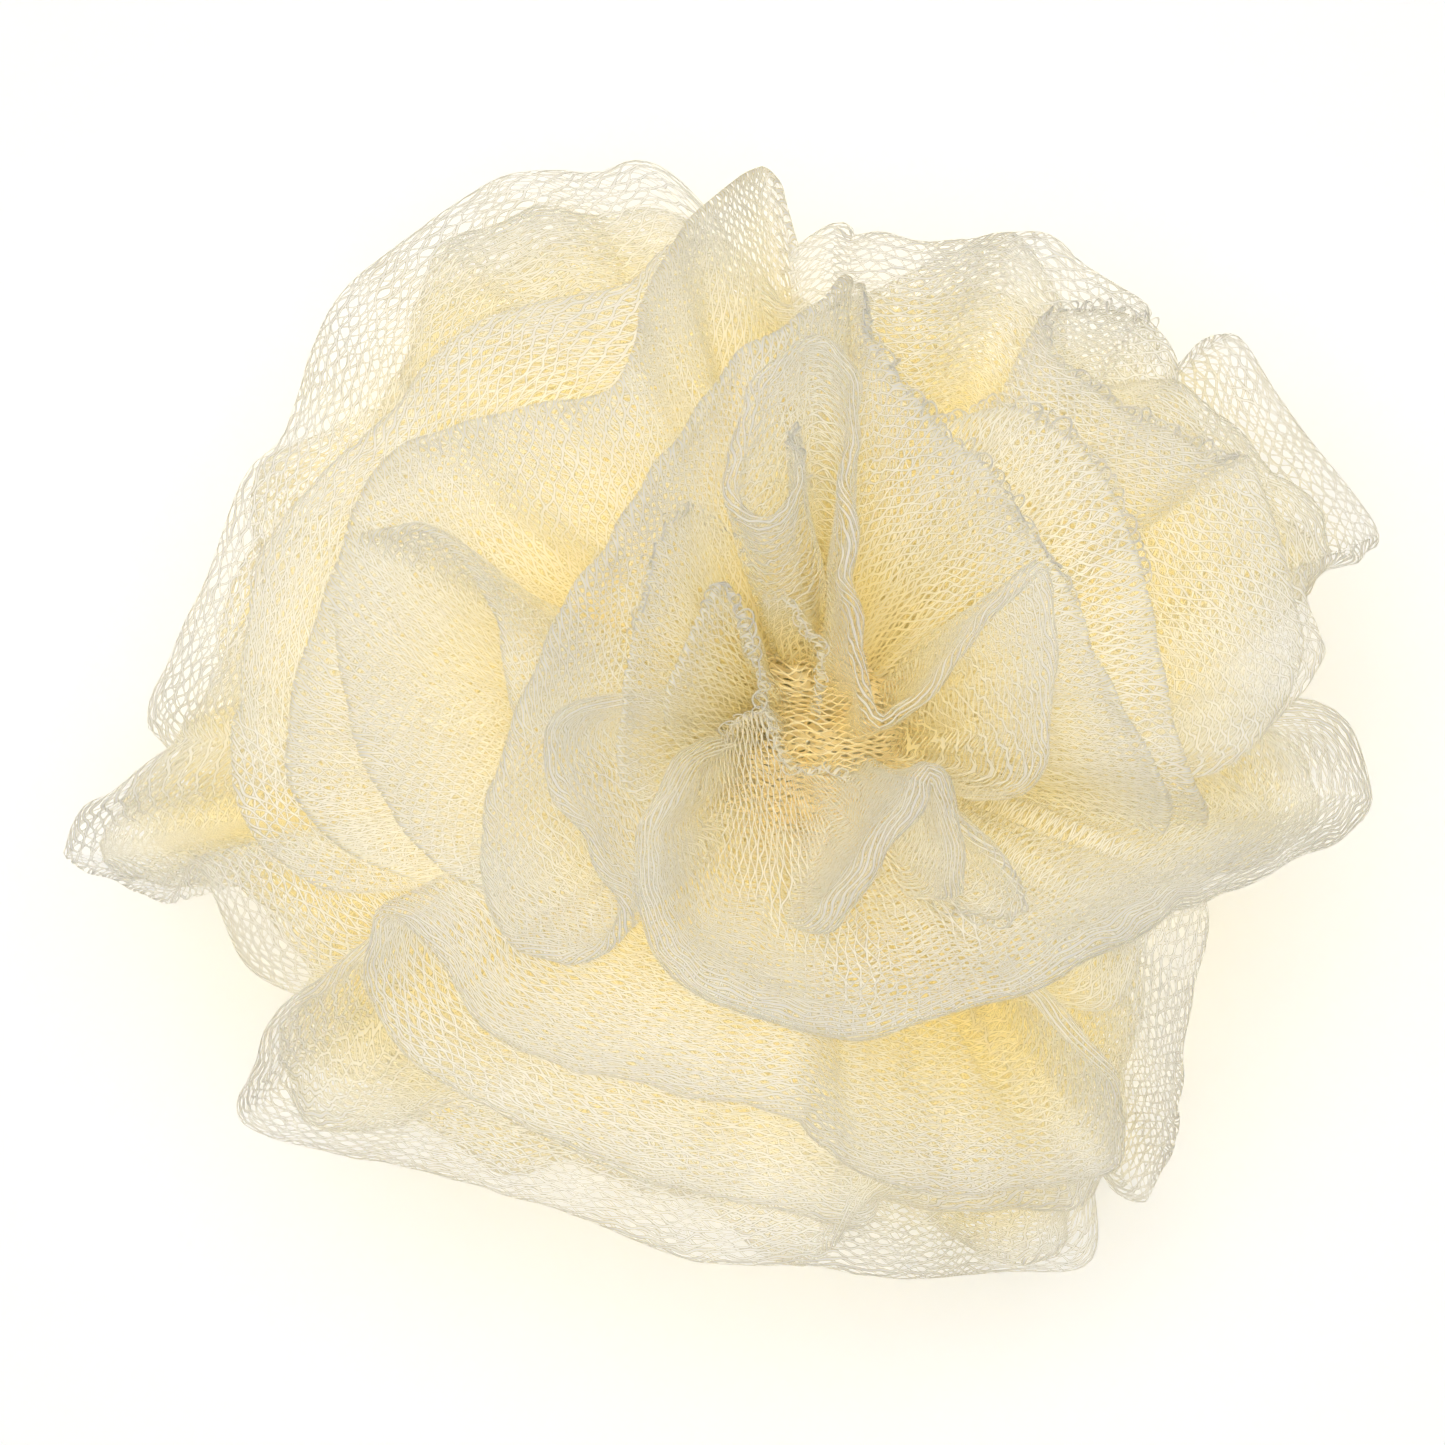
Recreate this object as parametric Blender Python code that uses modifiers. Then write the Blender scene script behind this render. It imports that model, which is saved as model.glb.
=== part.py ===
"""A bath puff: one long tube of soft net, gathered into folds and tied round its middle.

The puff lies on its back. Its upper folds open like a rosette, its lower folds spread
over the surface that it lies on, and both meet at a narrow neck that the tie holds.
"""

import math

import bmesh
import bpy
import numpy as np
from mathutils import Matrix, Vector, noise

MM = 0.001

# The neck, where the net is gathered, and the tie round it. All sizes below are in millimetres.
NECK_X = 8.5
NECK_Y = -2.0
NECK_Z = 33.0
WAIST_RADIUS = 5.0
BUNCH_RADIUS = 7.5
BUNCH_RISE = 5.5
NECK_HALF_LENGTH = 11.5
NECK_ROWS = 8
TIE_THICKNESS = 2.0
TIE_CLEARANCE = 0.3

# The crown is the dome that the upper folds reach, over the outline that the photograph shows.
CROWN_HALF_LENGTH = 68.0
CROWN_HALF_WIDTH = 60.0
CROWN_EDGE_Z = 31.0
CROWN_TOP_Z = 75.0
CROWN_POWER = 1.15

# The net lies double in each fold, and its two layers part into a round bulb at the rim.
NET_DOUBLE = 1.2
RIM_BULB = 2.1
TAPER_SHARE = 0.45

# Soft net sags and billows a little between its rim and its root.
BILLOW = 5.0
BILLOW_REACH = 66.0
CRUMPLE = 1.6
CRUMPLE_LENGTH = 24.0

# The crumpling is drawn from one seed, and shifted a little until the union of the folds has only
# clean edges.
DRIFT_SEED = 1796028936
CRUMPLE_SEED = 0.0
CRUMPLE_TRIALS = 12

# How finely the solid is faceted.
UPPER_STEP = 16.0
LOWER_STEP = 30.0
RING_SAMPLE = 3.0
TURN_STEP = 54.0
UPPER_CLOSEST = 5.0
LOWER_CLOSEST = 7.0
ROWS = 3
RING_ROWS = 2

# Rims of the upper folds, each a path through (x, y, lift): lift is the height over the crown.
UPPER_RIMS = {
    "outer_left": [
        (-60.4, -2.3, -2), (-57.2, 3.2, 0), (-53.2, 11.2, 1), (-47.7, 24.2, 1), (-43.2, 29.2, 0),
        (-38.7, 41.2, 1), (-33.7, 47.0, 2), (-21.2, 54.7, 2), (-12.2, 54.2, 0), (-7.2, 55.7, 1),
        (-0.2, 52.7, -2),
    ],
    "second_left": [
        (-48.0, -6.8, -6), (-48.2, 2.2, -3), (-47.9, 11.2, -1), (-46.2, 17.7, 0), (-41.2, 23.7, 0),
        (-33.2, 30.2, 0), (-28.2, 36.2, 0), (-22.2, 40.7, 0), (-16.2, 42.2, 0), (-9.2, 44.2, -1),
        (-1.5, 51.2, -3),
    ],
    "third_left": [
        (-31.5, -18.2, -8), (-38.2, -11.8, -4), (-42.2, -6.8, -2), (-42.9, 0.2, 0), (-41.7, 8.2, 0),
        (-39.4, 15.2, 0), (-36.7, 22.2, 0), (-32.2, 27.2, 0), (-24.2, 29.7, 0), (-16.2, 31.7, 0),
        (-11.0, 32.7, -1), (-9.2, 36.2, 0), (-8.0, 42.2, 0), (-3.2, 49.0, 0), (2.5, 54.9, -2),
        (4.8, 55.3, -3), (6.8, 50.7, -4),
    ],
    "left_pillow": [
        (-20.7, -2.0, -9), (-22.2, 6.2, -3), (-23.7, 12.0, -1), (-28.2, 18.4, 0), (-33.2, 19.2, 0),
        (-37.7, 17.7, -1), (-39.0, 13.2, -1), (-38.2, 6.2, -2), (-35.7, -2.0, -2), (-32.2, -9.2, -2),
        (-28.2, -14.0, -3), (-22.2, -17.5, -5), (-19.0, -20.5, -8),
    ],
    "long_ridge": [
        (12.8, 47.7, -2), (12.4, 43.2, 1), (6.8, 38.7, 2), (1.3, 35.0, 2), (-3.2, 29.2, 2),
        (-7.2, 24.2, 2), (-11.2, 18.2, 2), (-15.2, 12.2, 2), (-18.8, 5.2, 2), (-21.4, -2.0, 1),
        (-23.0, -8.2, 1), (-23.2, -15.0, 1), (-21.2, -20.5, 1), (-15.8, -22.6, 2), (-11.0, -21.4, 2),
        (-9.9, -17.5, 3), (-12.4, -12.8, 3), (-15.4, -8.2, 3), (-17.6, -3.6, 3), (-16.6, 0.8, 3),
        (-13.6, 3.0, 2), (-10.6, 3.4, 0),
    ],
    "top_loop": [
        (7.8, 31.8, -6), (7.6, 29.6, -3), (8.2, 26.2, 0), (8.0, 22.6, 0), (6.2, 19.8, 1),
        (3.4, 19.3, 1), (1.2, 21.2, 1), (0.8, 25.2, 1), (2.5, 29.7, 1), (5.0, 34.2, 1),
        (8.0, 36.9, 1), (10.6, 37.4, 1), (12.8, 35.2, 1), (13.6, 31.7, 1), (13.0, 24.2, 1),
        (12.8, 16.2, 0), (13.5, 8.2, -4), (14.6, 2.2, -8), (16.3, -0.2, -9), (20.3, 2.2, -7),
        (24.3, 7.7, -3), (27.8, 13.2, 0), (30.8, 16.0, 1), (32.1, 12.2, 0), (32.4, 6.2, -1),
        (32.0, -0.8, -2), (31.9, -6.4, -3), (29.5, -9.4, -5),
    ],
    "right_ridge": [
        (13.4, 46.0, -2), (14.4, 40.2, 0), (16.3, 35.0, 1), (20.8, 29.0, 1), (27.8, 22.2, 1),
        (31.8, 16.4, 0), (35.3, 9.7, 0), (39.3, 2.7, -1), (43.3, -4.3, -3), (46.8, -10.6, -6),
    ],
    "right_second": [
        (22.0, 31.5, -9), (26.3, 30.7, -4), (31.8, 29.7, -2), (36.8, 25.4, -1), (40.3, 19.2, -1),
        (42.6, 11.2, -1), (44.0, 3.2, -2), (46.3, -4.8, -3), (51.3, -10.3, -6),
    ],
    "right_arch": [
        (46.0, 39.5, -5), (40.0, 41.0, -1), (34.3, 41.4, 0), (31.8, 39.2, 1), (32.6, 35.7, 1),
        (37.8, 32.2, 1), (44.8, 28.7, 1), (49.3, 26.0, 1), (52.3, 26.2, 0), (54.3, 21.7, 0),
        (56.8, 13.2, 0), (58.1, 8.2, 0), (56.8, 3.2, -1), (52.8, -2.3, -3), (47.3, -4.0, -6),
    ],
    "outer_top": [
        (6.8, 50.0, -2), (11.6, 50.0, -1), (12.8, 47.7, -1), (15.8, 48.0, 0), (20.3, 47.2, 0),
        (30.8, 49.0, 1), (35.3, 46.0, 0), (41.6, 42.8, -1), (42.0, 40.8, -1), (46.3, 36.7, -2),
        (48.0, 33.5, -5),
    ],
    "outer_right": [
        (44.5, 35.0, -5), (51.3, 39.2, 2), (56.8, 32.2, 2), (65.3, 20.2, 2), (63.8, 17.2, 1),
        (58.3, 14.2, -1), (59.6, 8.5, -1), (60.3, 6.7, 0), (57.5, 2.0, -2), (54.0, -3.0, -5),
    ],
    "front_lip": [
        (-2.6, -1.4, -9), (-4.6, -4.0, -6), (-6.6, -8.6, -3), (-7.7, -14.8, 0),
        (-6.0, -21.6, 1), (-2.2, -25.8, 2), (3.8, -29.3, 3), (11.8, -31.3, 3), (19.8, -30.0, 3),
        (27.8, -27.6, 3), (35.8, -23.8, 3), (42.8, -19.8, 2), (50.8, -15.8, 2), (58.8, -12.3, 2),
        (64.5, -9.2, 2), (65.0, -5.8, 1), (62.3, 0.2, 0), (57.8, 2.0, -3),
    ],
    "fringe": [
        (-3.8, -3.8, -22), (0.8, -0.3, -17), (4.3, 1.2, -14), (5.8, -2.3, -15), (7.8, -4.8, -16),
        (12.3, -5.6, -15), (15.8, -7.3, -17),
    ],
    "white_peak": [
        (6.8, -25.3, -3), (10.8, -19.3, 0), (15.8, -12.8, 2), (19.3, -8.3, 3), (20.6, -5.8, 3),
        (22.3, -6.8, 2), (23.3, -11.8, 0), (23.6, -17.8, -1), (24.3, -22.0, -2),
    ],
    "peak_flank": [
        (26.6, -12.0, -5), (29.0, -13.8, -4), (30.3, -16.8, -4), (28.8, -20.2, -4), (25.4, -22.8, -4),
    ],
    "centre_left": [
        (-7.2, -3.8, -12), (-5.7, 3.2, -7), (-2.2, 10.7, -4), (0.0, 14.2, -3), (2.0, 9.7, -5),
        (3.8, 3.2, -10), (3.2, 0.5, -15),
    ],
    "centre_strand": [
        (-2.2, 25.2, -6), (-5.7, 19.5, -3), (-8.2, 12.7, -2), (-10.0, 4.7, -3), (-10.2, -3.8, -4),
        (-9.2, -12.0, -7),
    ],
    "centre_back": [
        (3.4, 17.0, -8), (6.0, 13.5, -9), (8.8, 9.0, -12), (9.9, 2.0, -18),
    ],
    "lower_meander": [
        (18.8, -52.3, -2), (7.8, -49.0, 0), (-2.2, -46.0, 0), (-12.2, -42.8, 0), (-22.2, -38.8, 0),
        (-31.2, -34.3, 0), (-35.4, -28.8, 0), (-35.7, -23.3, 1), (-33.7, -19.8, 1), (-29.2, -22.3, 2),
        (-23.7, -29.8, 2), (-16.2, -33.0, 2), (-8.2, -34.8, 2), (-0.2, -37.3, 2), (6.8, -39.8, 2),
        (11.8, -43.8, 1), (17.8, -46.6, 1), (27.8, -47.0, 0), (37.8, -45.8, 0), (40.3, -42.8, 0),
        (39.0, -36.0, -1), (33.8, -31.8, -3),
    ],
    "under_lip": [
        (57.0, -3.0, -9), (56.0, -9.5, -9), (50.0, -14.0, -8), (44.0, -19.5, -8), (40.5, -27.0, -8),
        (39.0, -35.0, -7),
    ],
    "outer_front": [
        (39.8, -47.6, -3), (37.3, -55.3, 1), (28.0, -55.8, 2), (18.3, -55.6, 2), (7.8, -53.4, 2),
        (-3.2, -52.6, 2), (-12.7, -49.3, 2), (-32.2, -44.8, 2), (-42.2, -42.6, 2), (-49.0, -39.6, 2),
        (-48.2, -34.8, 1), (-45.7, -29.3, 0), (-39.2, -25.3, -2), (-35.7, -22.0, -5),
    ],
    "outer_corner": [
        (51.8, -17.3, -4), (48.3, -23.8, 0), (47.3, -28.8, 1), (46.3, -37.8, 1), (44.6, -45.8, 1),
        (42.8, -48.6, 0), (39.0, -46.0, -4),
    ],
    "outer_tail": [
        (-44.7, -28.8, -4), (-48.2, -22.8, 0), (-50.4, -16.3, 0), (-52.7, -13.6, 0), (-55.7, -16.8, 1),
        (-59.2, -15.6, 2), (-65.0, -13.5, 3), (-65.4, -12.1, 3), (-64.2, -9.0, 2), (-61.0, -5.0, 0),
        (-58.5, -1.5, -3),
    ],
    "tail_inner": [
        (-31.0, -19.0, -8), (-38.0, -17.0, -4), (-44.0, -13.5, -2), (-47.5, -8.5, -1), (-49.0, -2.0, -2),
        (-51.0, 4.0, -4),
    ],
}

# The outline of the puff from above, as (x, y).
OUTLINE = [
    (-65.0, -12.0), (-55.0, 9.0), (-48.5, 23.0), (-42.0, 33.0), (-35.5, 45.0), (-23.0, 53.0), (-6.0, 55.0),
    (13.0, 49.0), (31.0, 49.0), (43.0, 41.0), (54.0, 35.0), (64.5, 19.0), (61.0, 6.0), (64.5, -9.0),
    (52.0, -19.0), (46.0, -34.0), (38.0, -55.0), (18.5, -55.5), (-2.5, -52.0), (-22.5, -47.5), (-42.0, -43.0),
    (-48.5, -37.0), (-48.0, -26.0), (-55.0, -17.5),
]

# Rings of folds under the crown: how much of the outline each reaches, its height, and its waves.
LOWER_RINGS = {
    "ring_shoulder": {"share": 0.90, "z": 43.0, "waves": 9, "swing": 0.045, "rise": 3.0, "phase": 1.9, "upper": True},
    "ring_belt": {"share": 0.86, "z": 31.0, "waves": 8, "swing": 0.06, "rise": 3.0, "phase": 3.7},
    "ring_high": {"share": 0.82, "z": 20.0, "waves": 8, "swing": 0.07, "rise": 2.5, "phase": 0.4},
    "ring_low": {"share": 0.74, "z": 9.5, "waves": 7, "swing": 0.08, "rise": 1.5, "phase": 2.1},
    "ring_floor": {"share": 0.60, "z": 0.5, "waves": 7, "swing": 0.09, "rise": 0.0, "phase": 1.1},
    "ring_inner": {"share": 0.33, "z": 0.5, "waves": 5, "swing": 0.07, "rise": 0.0, "phase": 3.0},
}


def neck_radius(z):
    """Radius of the gathered net at a height over the middle of the neck."""
    rise = min(1.0, abs(z) / BUNCH_RISE)
    radius = WAIST_RADIUS + (BUNCH_RADIUS - WAIST_RADIUS) * (1.0 - math.cos(math.pi * rise)) / 2.0
    past = max(0.0, abs(z) - BUNCH_RISE) / (NECK_HALF_LENGTH - BUNCH_RISE)
    return radius * math.sqrt(max(0.08, 1.0 - past * past))


def crown_height(x, y):
    """Height of the crown over the point (x, y)."""
    out = (x / CROWN_HALF_LENGTH) ** 2 + (y / CROWN_HALF_WIDTH) ** 2
    share = math.sqrt(max(0.0, 1.0 - out))
    return CROWN_EDGE_Z + (CROWN_TOP_Z - CROWN_EDGE_Z) * share**CROWN_POWER


def spline(points, step, closest, closed=False):
    """Points along a smooth curve through the given points, closer together where it turns."""
    p = np.array(points, float)
    if closed:
        p = np.vstack([p[-1], p, p[0], p[1]])
    else:
        p = np.vstack([2 * p[0] - p[1], p, 2 * p[-1] - p[-2]])
    fine = []
    for a, b, c, d in zip(p, p[1:], p[2:], p[3:]):
        for t in np.linspace(0, 1, 12, endpoint=False):
            fine.append(
                0.5 * (2 * b + (c - a) * t + (2 * a - 5 * b + 4 * c - d) * t * t
                       + (3 * b - a - 3 * c + d) * t**3)
            )
    fine.append(p[-2])
    fine = np.array(fine)
    way = np.diff(fine, axis=0)
    length = np.linalg.norm(way, axis=1)
    way = way / length[:, None]
    turn = np.arccos(np.clip((way[1:] * way[:-1]).sum(axis=1), -1, 1))
    turn = (np.append(turn, 0.0) + np.insert(turn, 0, 0.0)) / 2
    spent = np.minimum(length / step + turn / math.radians(TURN_STEP), length / closest)
    along = np.concatenate([[0], np.cumsum(spent)])
    count = max(4, round(along[-1]))
    at = np.linspace(0, along[-1], count + 1)
    if closed:
        at = at[:-1]
    return np.stack([np.interp(at, along, fine[:, k]) for k in range(3)], axis=1)


def soften(point, crumpling):
    """Where the sagging and crumpling of the net takes a point."""
    x, y, z = point
    out = min(1.0, math.hypot(x - NECK_X, y - NECK_Y) / BILLOW_REACH)
    above = min(1.0, max(-1.0, (z - NECK_Z) / 12.0))
    z += BILLOW * math.sin(math.pi * out) * max(0.0, above)
    drift = noise.noise_vector(Vector((x, y, z)) / CRUMPLE_LENGTH + Vector((0.0, 0.0, crumpling)))
    reach = CRUMPLE * min(1.0, out * 2.5) * min(1.0, max(0.0, z / 12.0))
    return Vector((x, y, z)) + drift * reach


def fold(name, rim, root, crumpling, closed=False):
    """A fold of double net: a sheet from its rim in to the root, thickest at the rim."""
    mesh = bpy.data.meshes.new(name)
    obj = bpy.data.objects.new(name, mesh)
    folds.objects.link(obj)
    bm = bmesh.new()
    first = BUNCH_RADIUS - 1.5 * NET_DOUBLE
    steps = RING_ROWS if closed else ROWS
    rows, shares = [], []
    for row in range(steps + 1):
        line = []
        for point in rim:
            reach = (Vector(point) - root).length
            start = first / reach
            share = start + (1.0 - start) * row / steps
            line.append(bm.verts.new(soften(root.lerp(Vector(point), share), crumpling) * MM))
            shares.append(share)
        rows.append(line)
    for low, high in zip(rows, rows[1:]):
        for k in range(len(low) if closed else len(low) - 1):
            n = (k + 1) % len(low)
            bm.faces.new((low[k], low[n], high[n], high[k]))
    bm.to_mesh(mesh)
    bm.free()
    group = obj.vertex_groups.new(name="thickness")
    rim_start = len(rim) * steps
    for index, share in enumerate(shares):
        thin = NET_DOUBLE / RIM_BULB * min(1.0, share / TAPER_SHARE)
        group.add([index], 1.0 if index >= rim_start else thin, "REPLACE")
    wall = obj.modifiers.new("double net", "SOLIDIFY")
    wall.thickness = RIM_BULB * MM
    wall.offset = 0.0
    wall.vertex_group = group.name
    wall.use_rim = True
    obj.hide_render = True
    obj.display_type = "WIRE"
    return obj


def ring_rim(share, z, waves, swing, rise, phase, upper=False):
    """The rim of a ring of folds: the outline drawn in, with uneven waves that also rise and fall."""
    even = spline([(x, y, 0.0) for x, y in OUTLINE], RING_SAMPLE, RING_SAMPLE, closed=True)
    points = []
    for k, (x, y, _) in enumerate(even):
        turn = math.tau * k / len(even)
        wave = math.sin(waves * turn + phase + 0.8 * math.sin(2 * turn))
        wave += 0.45 * math.sin((waves + 5) * turn + 2.0 * phase)
        reach = share + swing * wave
        points.append((x * reach, y * reach, z + rise * math.sin((waves - 3) * turn + 3.0 * phase)))
    return spline(points, LOWER_STEP, LOWER_CLOSEST, closed=True)


def gathered_neck():
    """The net gathered at the neck: a waisted spindle, turned from its profile."""
    mesh = bpy.data.meshes.new("neck_profile")
    obj = bpy.data.objects.new("neck", mesh)
    folds.objects.link(obj)
    bm = bmesh.new()
    corners = [bm.verts.new((0.0, 0.0, -NECK_HALF_LENGTH * MM))]
    for step in range(NECK_ROWS + 1):
        z = -NECK_HALF_LENGTH + 2.0 * NECK_HALF_LENGTH * step / NECK_ROWS
        corners.append(bm.verts.new(Vector((neck_radius(z), 0.0, z)) * MM))
    corners.append(bm.verts.new((0.0, 0.0, NECK_HALF_LENGTH * MM)))
    for a, b in zip(corners, corners[1:]):
        bm.edges.new((a, b))
    bm.to_mesh(mesh)
    bm.free()
    obj.location = (NECK_X * MM, NECK_Y * MM, NECK_Z * MM)
    turned = obj.modifiers.new("turned neck", "SCREW")
    turned.steps = turned.render_steps = 24
    turned.use_merge_vertices = True
    turned.merge_threshold = 0.00001
    turned.use_normal_calculate = True
    obj.hide_render = True
    obj.display_type = "WIRE"
    return obj


def evaluated(obj):
    """A mesh of its own for what an object's modifiers make."""
    depsgraph = bpy.context.evaluated_depsgraph_get()
    mesh = bpy.data.meshes.new_from_object(obj.evaluated_get(depsgraph), depsgraph=depsgraph)
    mesh.transform(obj.matrix_world)
    return mesh


def ear_of(bm, face):
    """The best corner to cut off a face, by a cut that isn't an edge of the mesh already."""
    verts = [loop.vert for loop in face.loops]
    best, best_grade = None, -1.0
    for k, tip in enumerate(verts):
        before, after = verts[k - 1], verts[(k + 1) % len(verts)]
        a, b, c = before.co, tip.co, after.co
        area = (b - a).cross(c - b).dot(face.normal)
        longest = max((b - a).length, (c - b).length, (a - c).length)
        grade = area / longest**2
        if grade <= best_grade or bm.edges.get((before, after)):
            continue
        sides = ((a, b), (b, c), (c, a))
        if area > 0 and any(
            all((q - p).cross(other.co - p).dot(face.normal) >= 0 for p, q in sides)
            for other in verts if other not in (before, tip, after)
        ):
            continue
        best, best_grade = (before, after), grade
    return best


def cut_up(bm):
    """Cuts the faces into triangles, with no two cuts along the same line."""
    for face in bm.faces[:]:
        while len(face.verts) > 3:
            ear = ear_of(bm, face)
            if ear is None:
                bmesh.ops.triangulate(bm, faces=[face])
                break
            other, _ = bmesh.utils.face_split(face, *ear)
            face = max(face, other, key=lambda f: len(f.verts))


def outer_shell(bm):
    """Fills what the union seals in, so that one outer surface is left."""
    seen = set()
    shells = []
    for start in bm.verts:
        if start in seen:
            continue
        shell, queue = {start}, [start]
        while queue:
            for edge in queue.pop().link_edges:
                for vert in edge.verts:
                    if vert not in shell:
                        shell.add(vert)
                        queue.append(vert)
        seen |= shell
        shells.append(shell)
    shells.sort(key=len)
    sealed = [vert for shell in shells[:-1] for vert in shell]
    bmesh.ops.delete(bm, geom=sealed, context="VERTS")


def gather(crumpling):
    """All folds joined with the neck, and how many of the joined edges are not clean."""
    for obj in list(folds.objects):
        bpy.data.objects.remove(obj)
    upper_root = Vector((NECK_X, NECK_Y, NECK_Z + BUNCH_RISE))
    lower_root = Vector((NECK_X, NECK_Y, NECK_Z - BUNCH_RISE))
    for name, path in UPPER_RIMS.items():
        raised = [(x, y, crown_height(x, y) + lift) for x, y, lift in path]
        fold(name, spline(raised, UPPER_STEP, UPPER_CLOSEST), upper_root, crumpling)
    for name, ring in LOWER_RINGS.items():
        root = upper_root if ring.get("upper") else lower_root
        fold(name, ring_rim(**ring), root, crumpling, closed=True)
    spindle = gathered_neck()
    neck = bpy.data.objects.new("netting", evaluated(spindle))
    bpy.data.objects.remove(spindle)
    puff.objects.link(neck)
    join = neck.modifiers.new("folds", "BOOLEAN")
    join.operation = "UNION"
    join.operand_type = "COLLECTION"
    join.collection = folds
    join.solver = "EXACT"
    join.use_self = True
    press = neck.modifiers.new("flat where it rests", "BOOLEAN")
    press.operation = "DIFFERENCE"
    press.object = rest
    press.solver = "EXACT"
    bm = bmesh.new()
    bm.from_mesh(evaluated(neck))
    cut_up(bm)
    outer_shell(bm)
    neck.modifiers.clear()
    bm.to_mesh(neck.data)
    unclean = sum(not edge.is_manifold for edge in bm.edges)
    bm.free()
    return neck, unclean


for old in list(bpy.data.objects):
    bpy.data.objects.remove(old)
puff = bpy.data.collections.new("bath_puff")
folds = bpy.data.collections.new("folds_to_join")
bpy.context.scene.collection.children.link(puff)
bpy.context.scene.collection.children.link(folds)

# The surface that the puff rests on presses its lowest rims flat.
bpy.ops.mesh.primitive_cube_add(size=1.0, location=(0.0, 0.0, -10.0 * MM))
rest = bpy.context.object
rest.name = "rest_cutter"
rest.data.transform(Matrix.Diagonal((200.0 * MM, 200.0 * MM, 20.0 * MM, 1.0)))
rest.hide_render = True
rest.display_type = "WIRE"

noise.seed_set(DRIFT_SEED)
for trial in range(CRUMPLE_TRIALS):
    netting, unclean = gather(CRUMPLE_SEED + 0.05 * trial)
    if unclean == 0:
        break
    if trial < CRUMPLE_TRIALS - 1:
        bpy.data.objects.remove(netting)

bpy.ops.mesh.primitive_torus_add(
    major_segments=24, minor_segments=8,
    major_radius=(WAIST_RADIUS + TIE_CLEARANCE + TIE_THICKNESS / 2) * MM,
    minor_radius=TIE_THICKNESS / 2 * MM,
    location=(NECK_X * MM, NECK_Y * MM, NECK_Z * MM),
)
tie = bpy.context.object
tie.name = "binding_tie"
for other in list(tie.users_collection):
    other.objects.unlink(tie)
puff.objects.link(tie)


def coat(obj, name, color, roughness, weight):
    """Gives an object its own material and smooth shading."""
    material = bpy.data.materials.new(name)
    material.use_nodes = True
    shader = material.node_tree.nodes["Principled BSDF"]
    shader.inputs["Base Color"].default_value = color
    shader.inputs["Roughness"].default_value = roughness
    shader.inputs["Subsurface Weight"].default_value = weight
    obj.data.materials.append(material)
    obj.data.polygons.foreach_set("use_smooth", [True] * len(obj.data.polygons))


xs = [vert.co.x for vert in netting.data.vertices]
ys = [vert.co.y for vert in netting.data.vertices]
to_middle = Matrix.Translation((-(min(xs) + max(xs)) / 2, -(min(ys) + max(ys)) / 2, 0.0))
netting.data.transform(to_middle)
tie.matrix_world = to_middle @ tie.matrix_world

coat(netting, "cream netting", (0.93, 0.83, 0.58, 1.0), 0.45, 0.2)
coat(tie, "tie cord", (0.90, 0.84, 0.68, 1.0), 0.6, 0.0)
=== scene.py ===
"""A bath puff of fine cream net on a pale floor, seen from straight above."""

import math
from collections import namedtuple

import bpy
import numpy as np
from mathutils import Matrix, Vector, noise


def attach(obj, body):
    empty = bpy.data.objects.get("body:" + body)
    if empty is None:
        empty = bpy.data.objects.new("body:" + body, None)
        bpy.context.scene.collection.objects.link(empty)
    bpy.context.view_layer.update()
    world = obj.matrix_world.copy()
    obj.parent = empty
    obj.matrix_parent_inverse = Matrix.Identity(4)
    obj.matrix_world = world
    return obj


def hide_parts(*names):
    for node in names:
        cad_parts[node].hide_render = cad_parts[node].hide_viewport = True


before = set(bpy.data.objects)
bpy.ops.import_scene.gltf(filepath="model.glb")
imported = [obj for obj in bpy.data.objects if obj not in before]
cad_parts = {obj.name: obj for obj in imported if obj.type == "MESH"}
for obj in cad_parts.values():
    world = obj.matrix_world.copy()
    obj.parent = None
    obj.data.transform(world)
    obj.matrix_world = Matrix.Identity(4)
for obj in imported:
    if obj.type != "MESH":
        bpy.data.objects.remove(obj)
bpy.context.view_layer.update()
MM = 0.001


# The camera looks straight down from far off, so the folds show no perspective. The photograph is
# 1445 pixels wide, and each is 0.1 mm at the height that the camera aims at.
PHOTO_WIDTH = 0.1445
CAMERA_LENS = 400.0
CAMERA_SENSOR = 36.0
CAMERA_NEAR = 0.01
CAMERA_TARGET = Vector((-0.22, -0.19, 48.0)) * MM

camera_data = bpy.data.cameras.new("camera")
camera_data.lens = CAMERA_LENS
camera_data.sensor_width = CAMERA_SENSOR
camera_data.clip_start = CAMERA_NEAR
camera = bpy.data.objects.new("camera", camera_data)
bpy.context.collection.objects.link(camera)
camera.location = CAMERA_TARGET + Vector((0, 0, PHOTO_WIDTH * CAMERA_LENS / CAMERA_SENSOR))
bpy.context.scene.camera = camera


# The floor is a wide matt sheet. It is drawn white for the camera alone, by its colour and a small
# lift, and lights the puff as a pale grey.
FLOOR_SIZE = 3.0
FLOOR_COLOR = (0.6, 0.6, 0.6, 1.0)
FLOOR_ROUGHNESS = 0.9
FLOOR_LIFT = 0.16
WHITE = (1.0, 1.0, 1.0, 1.0)

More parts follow.
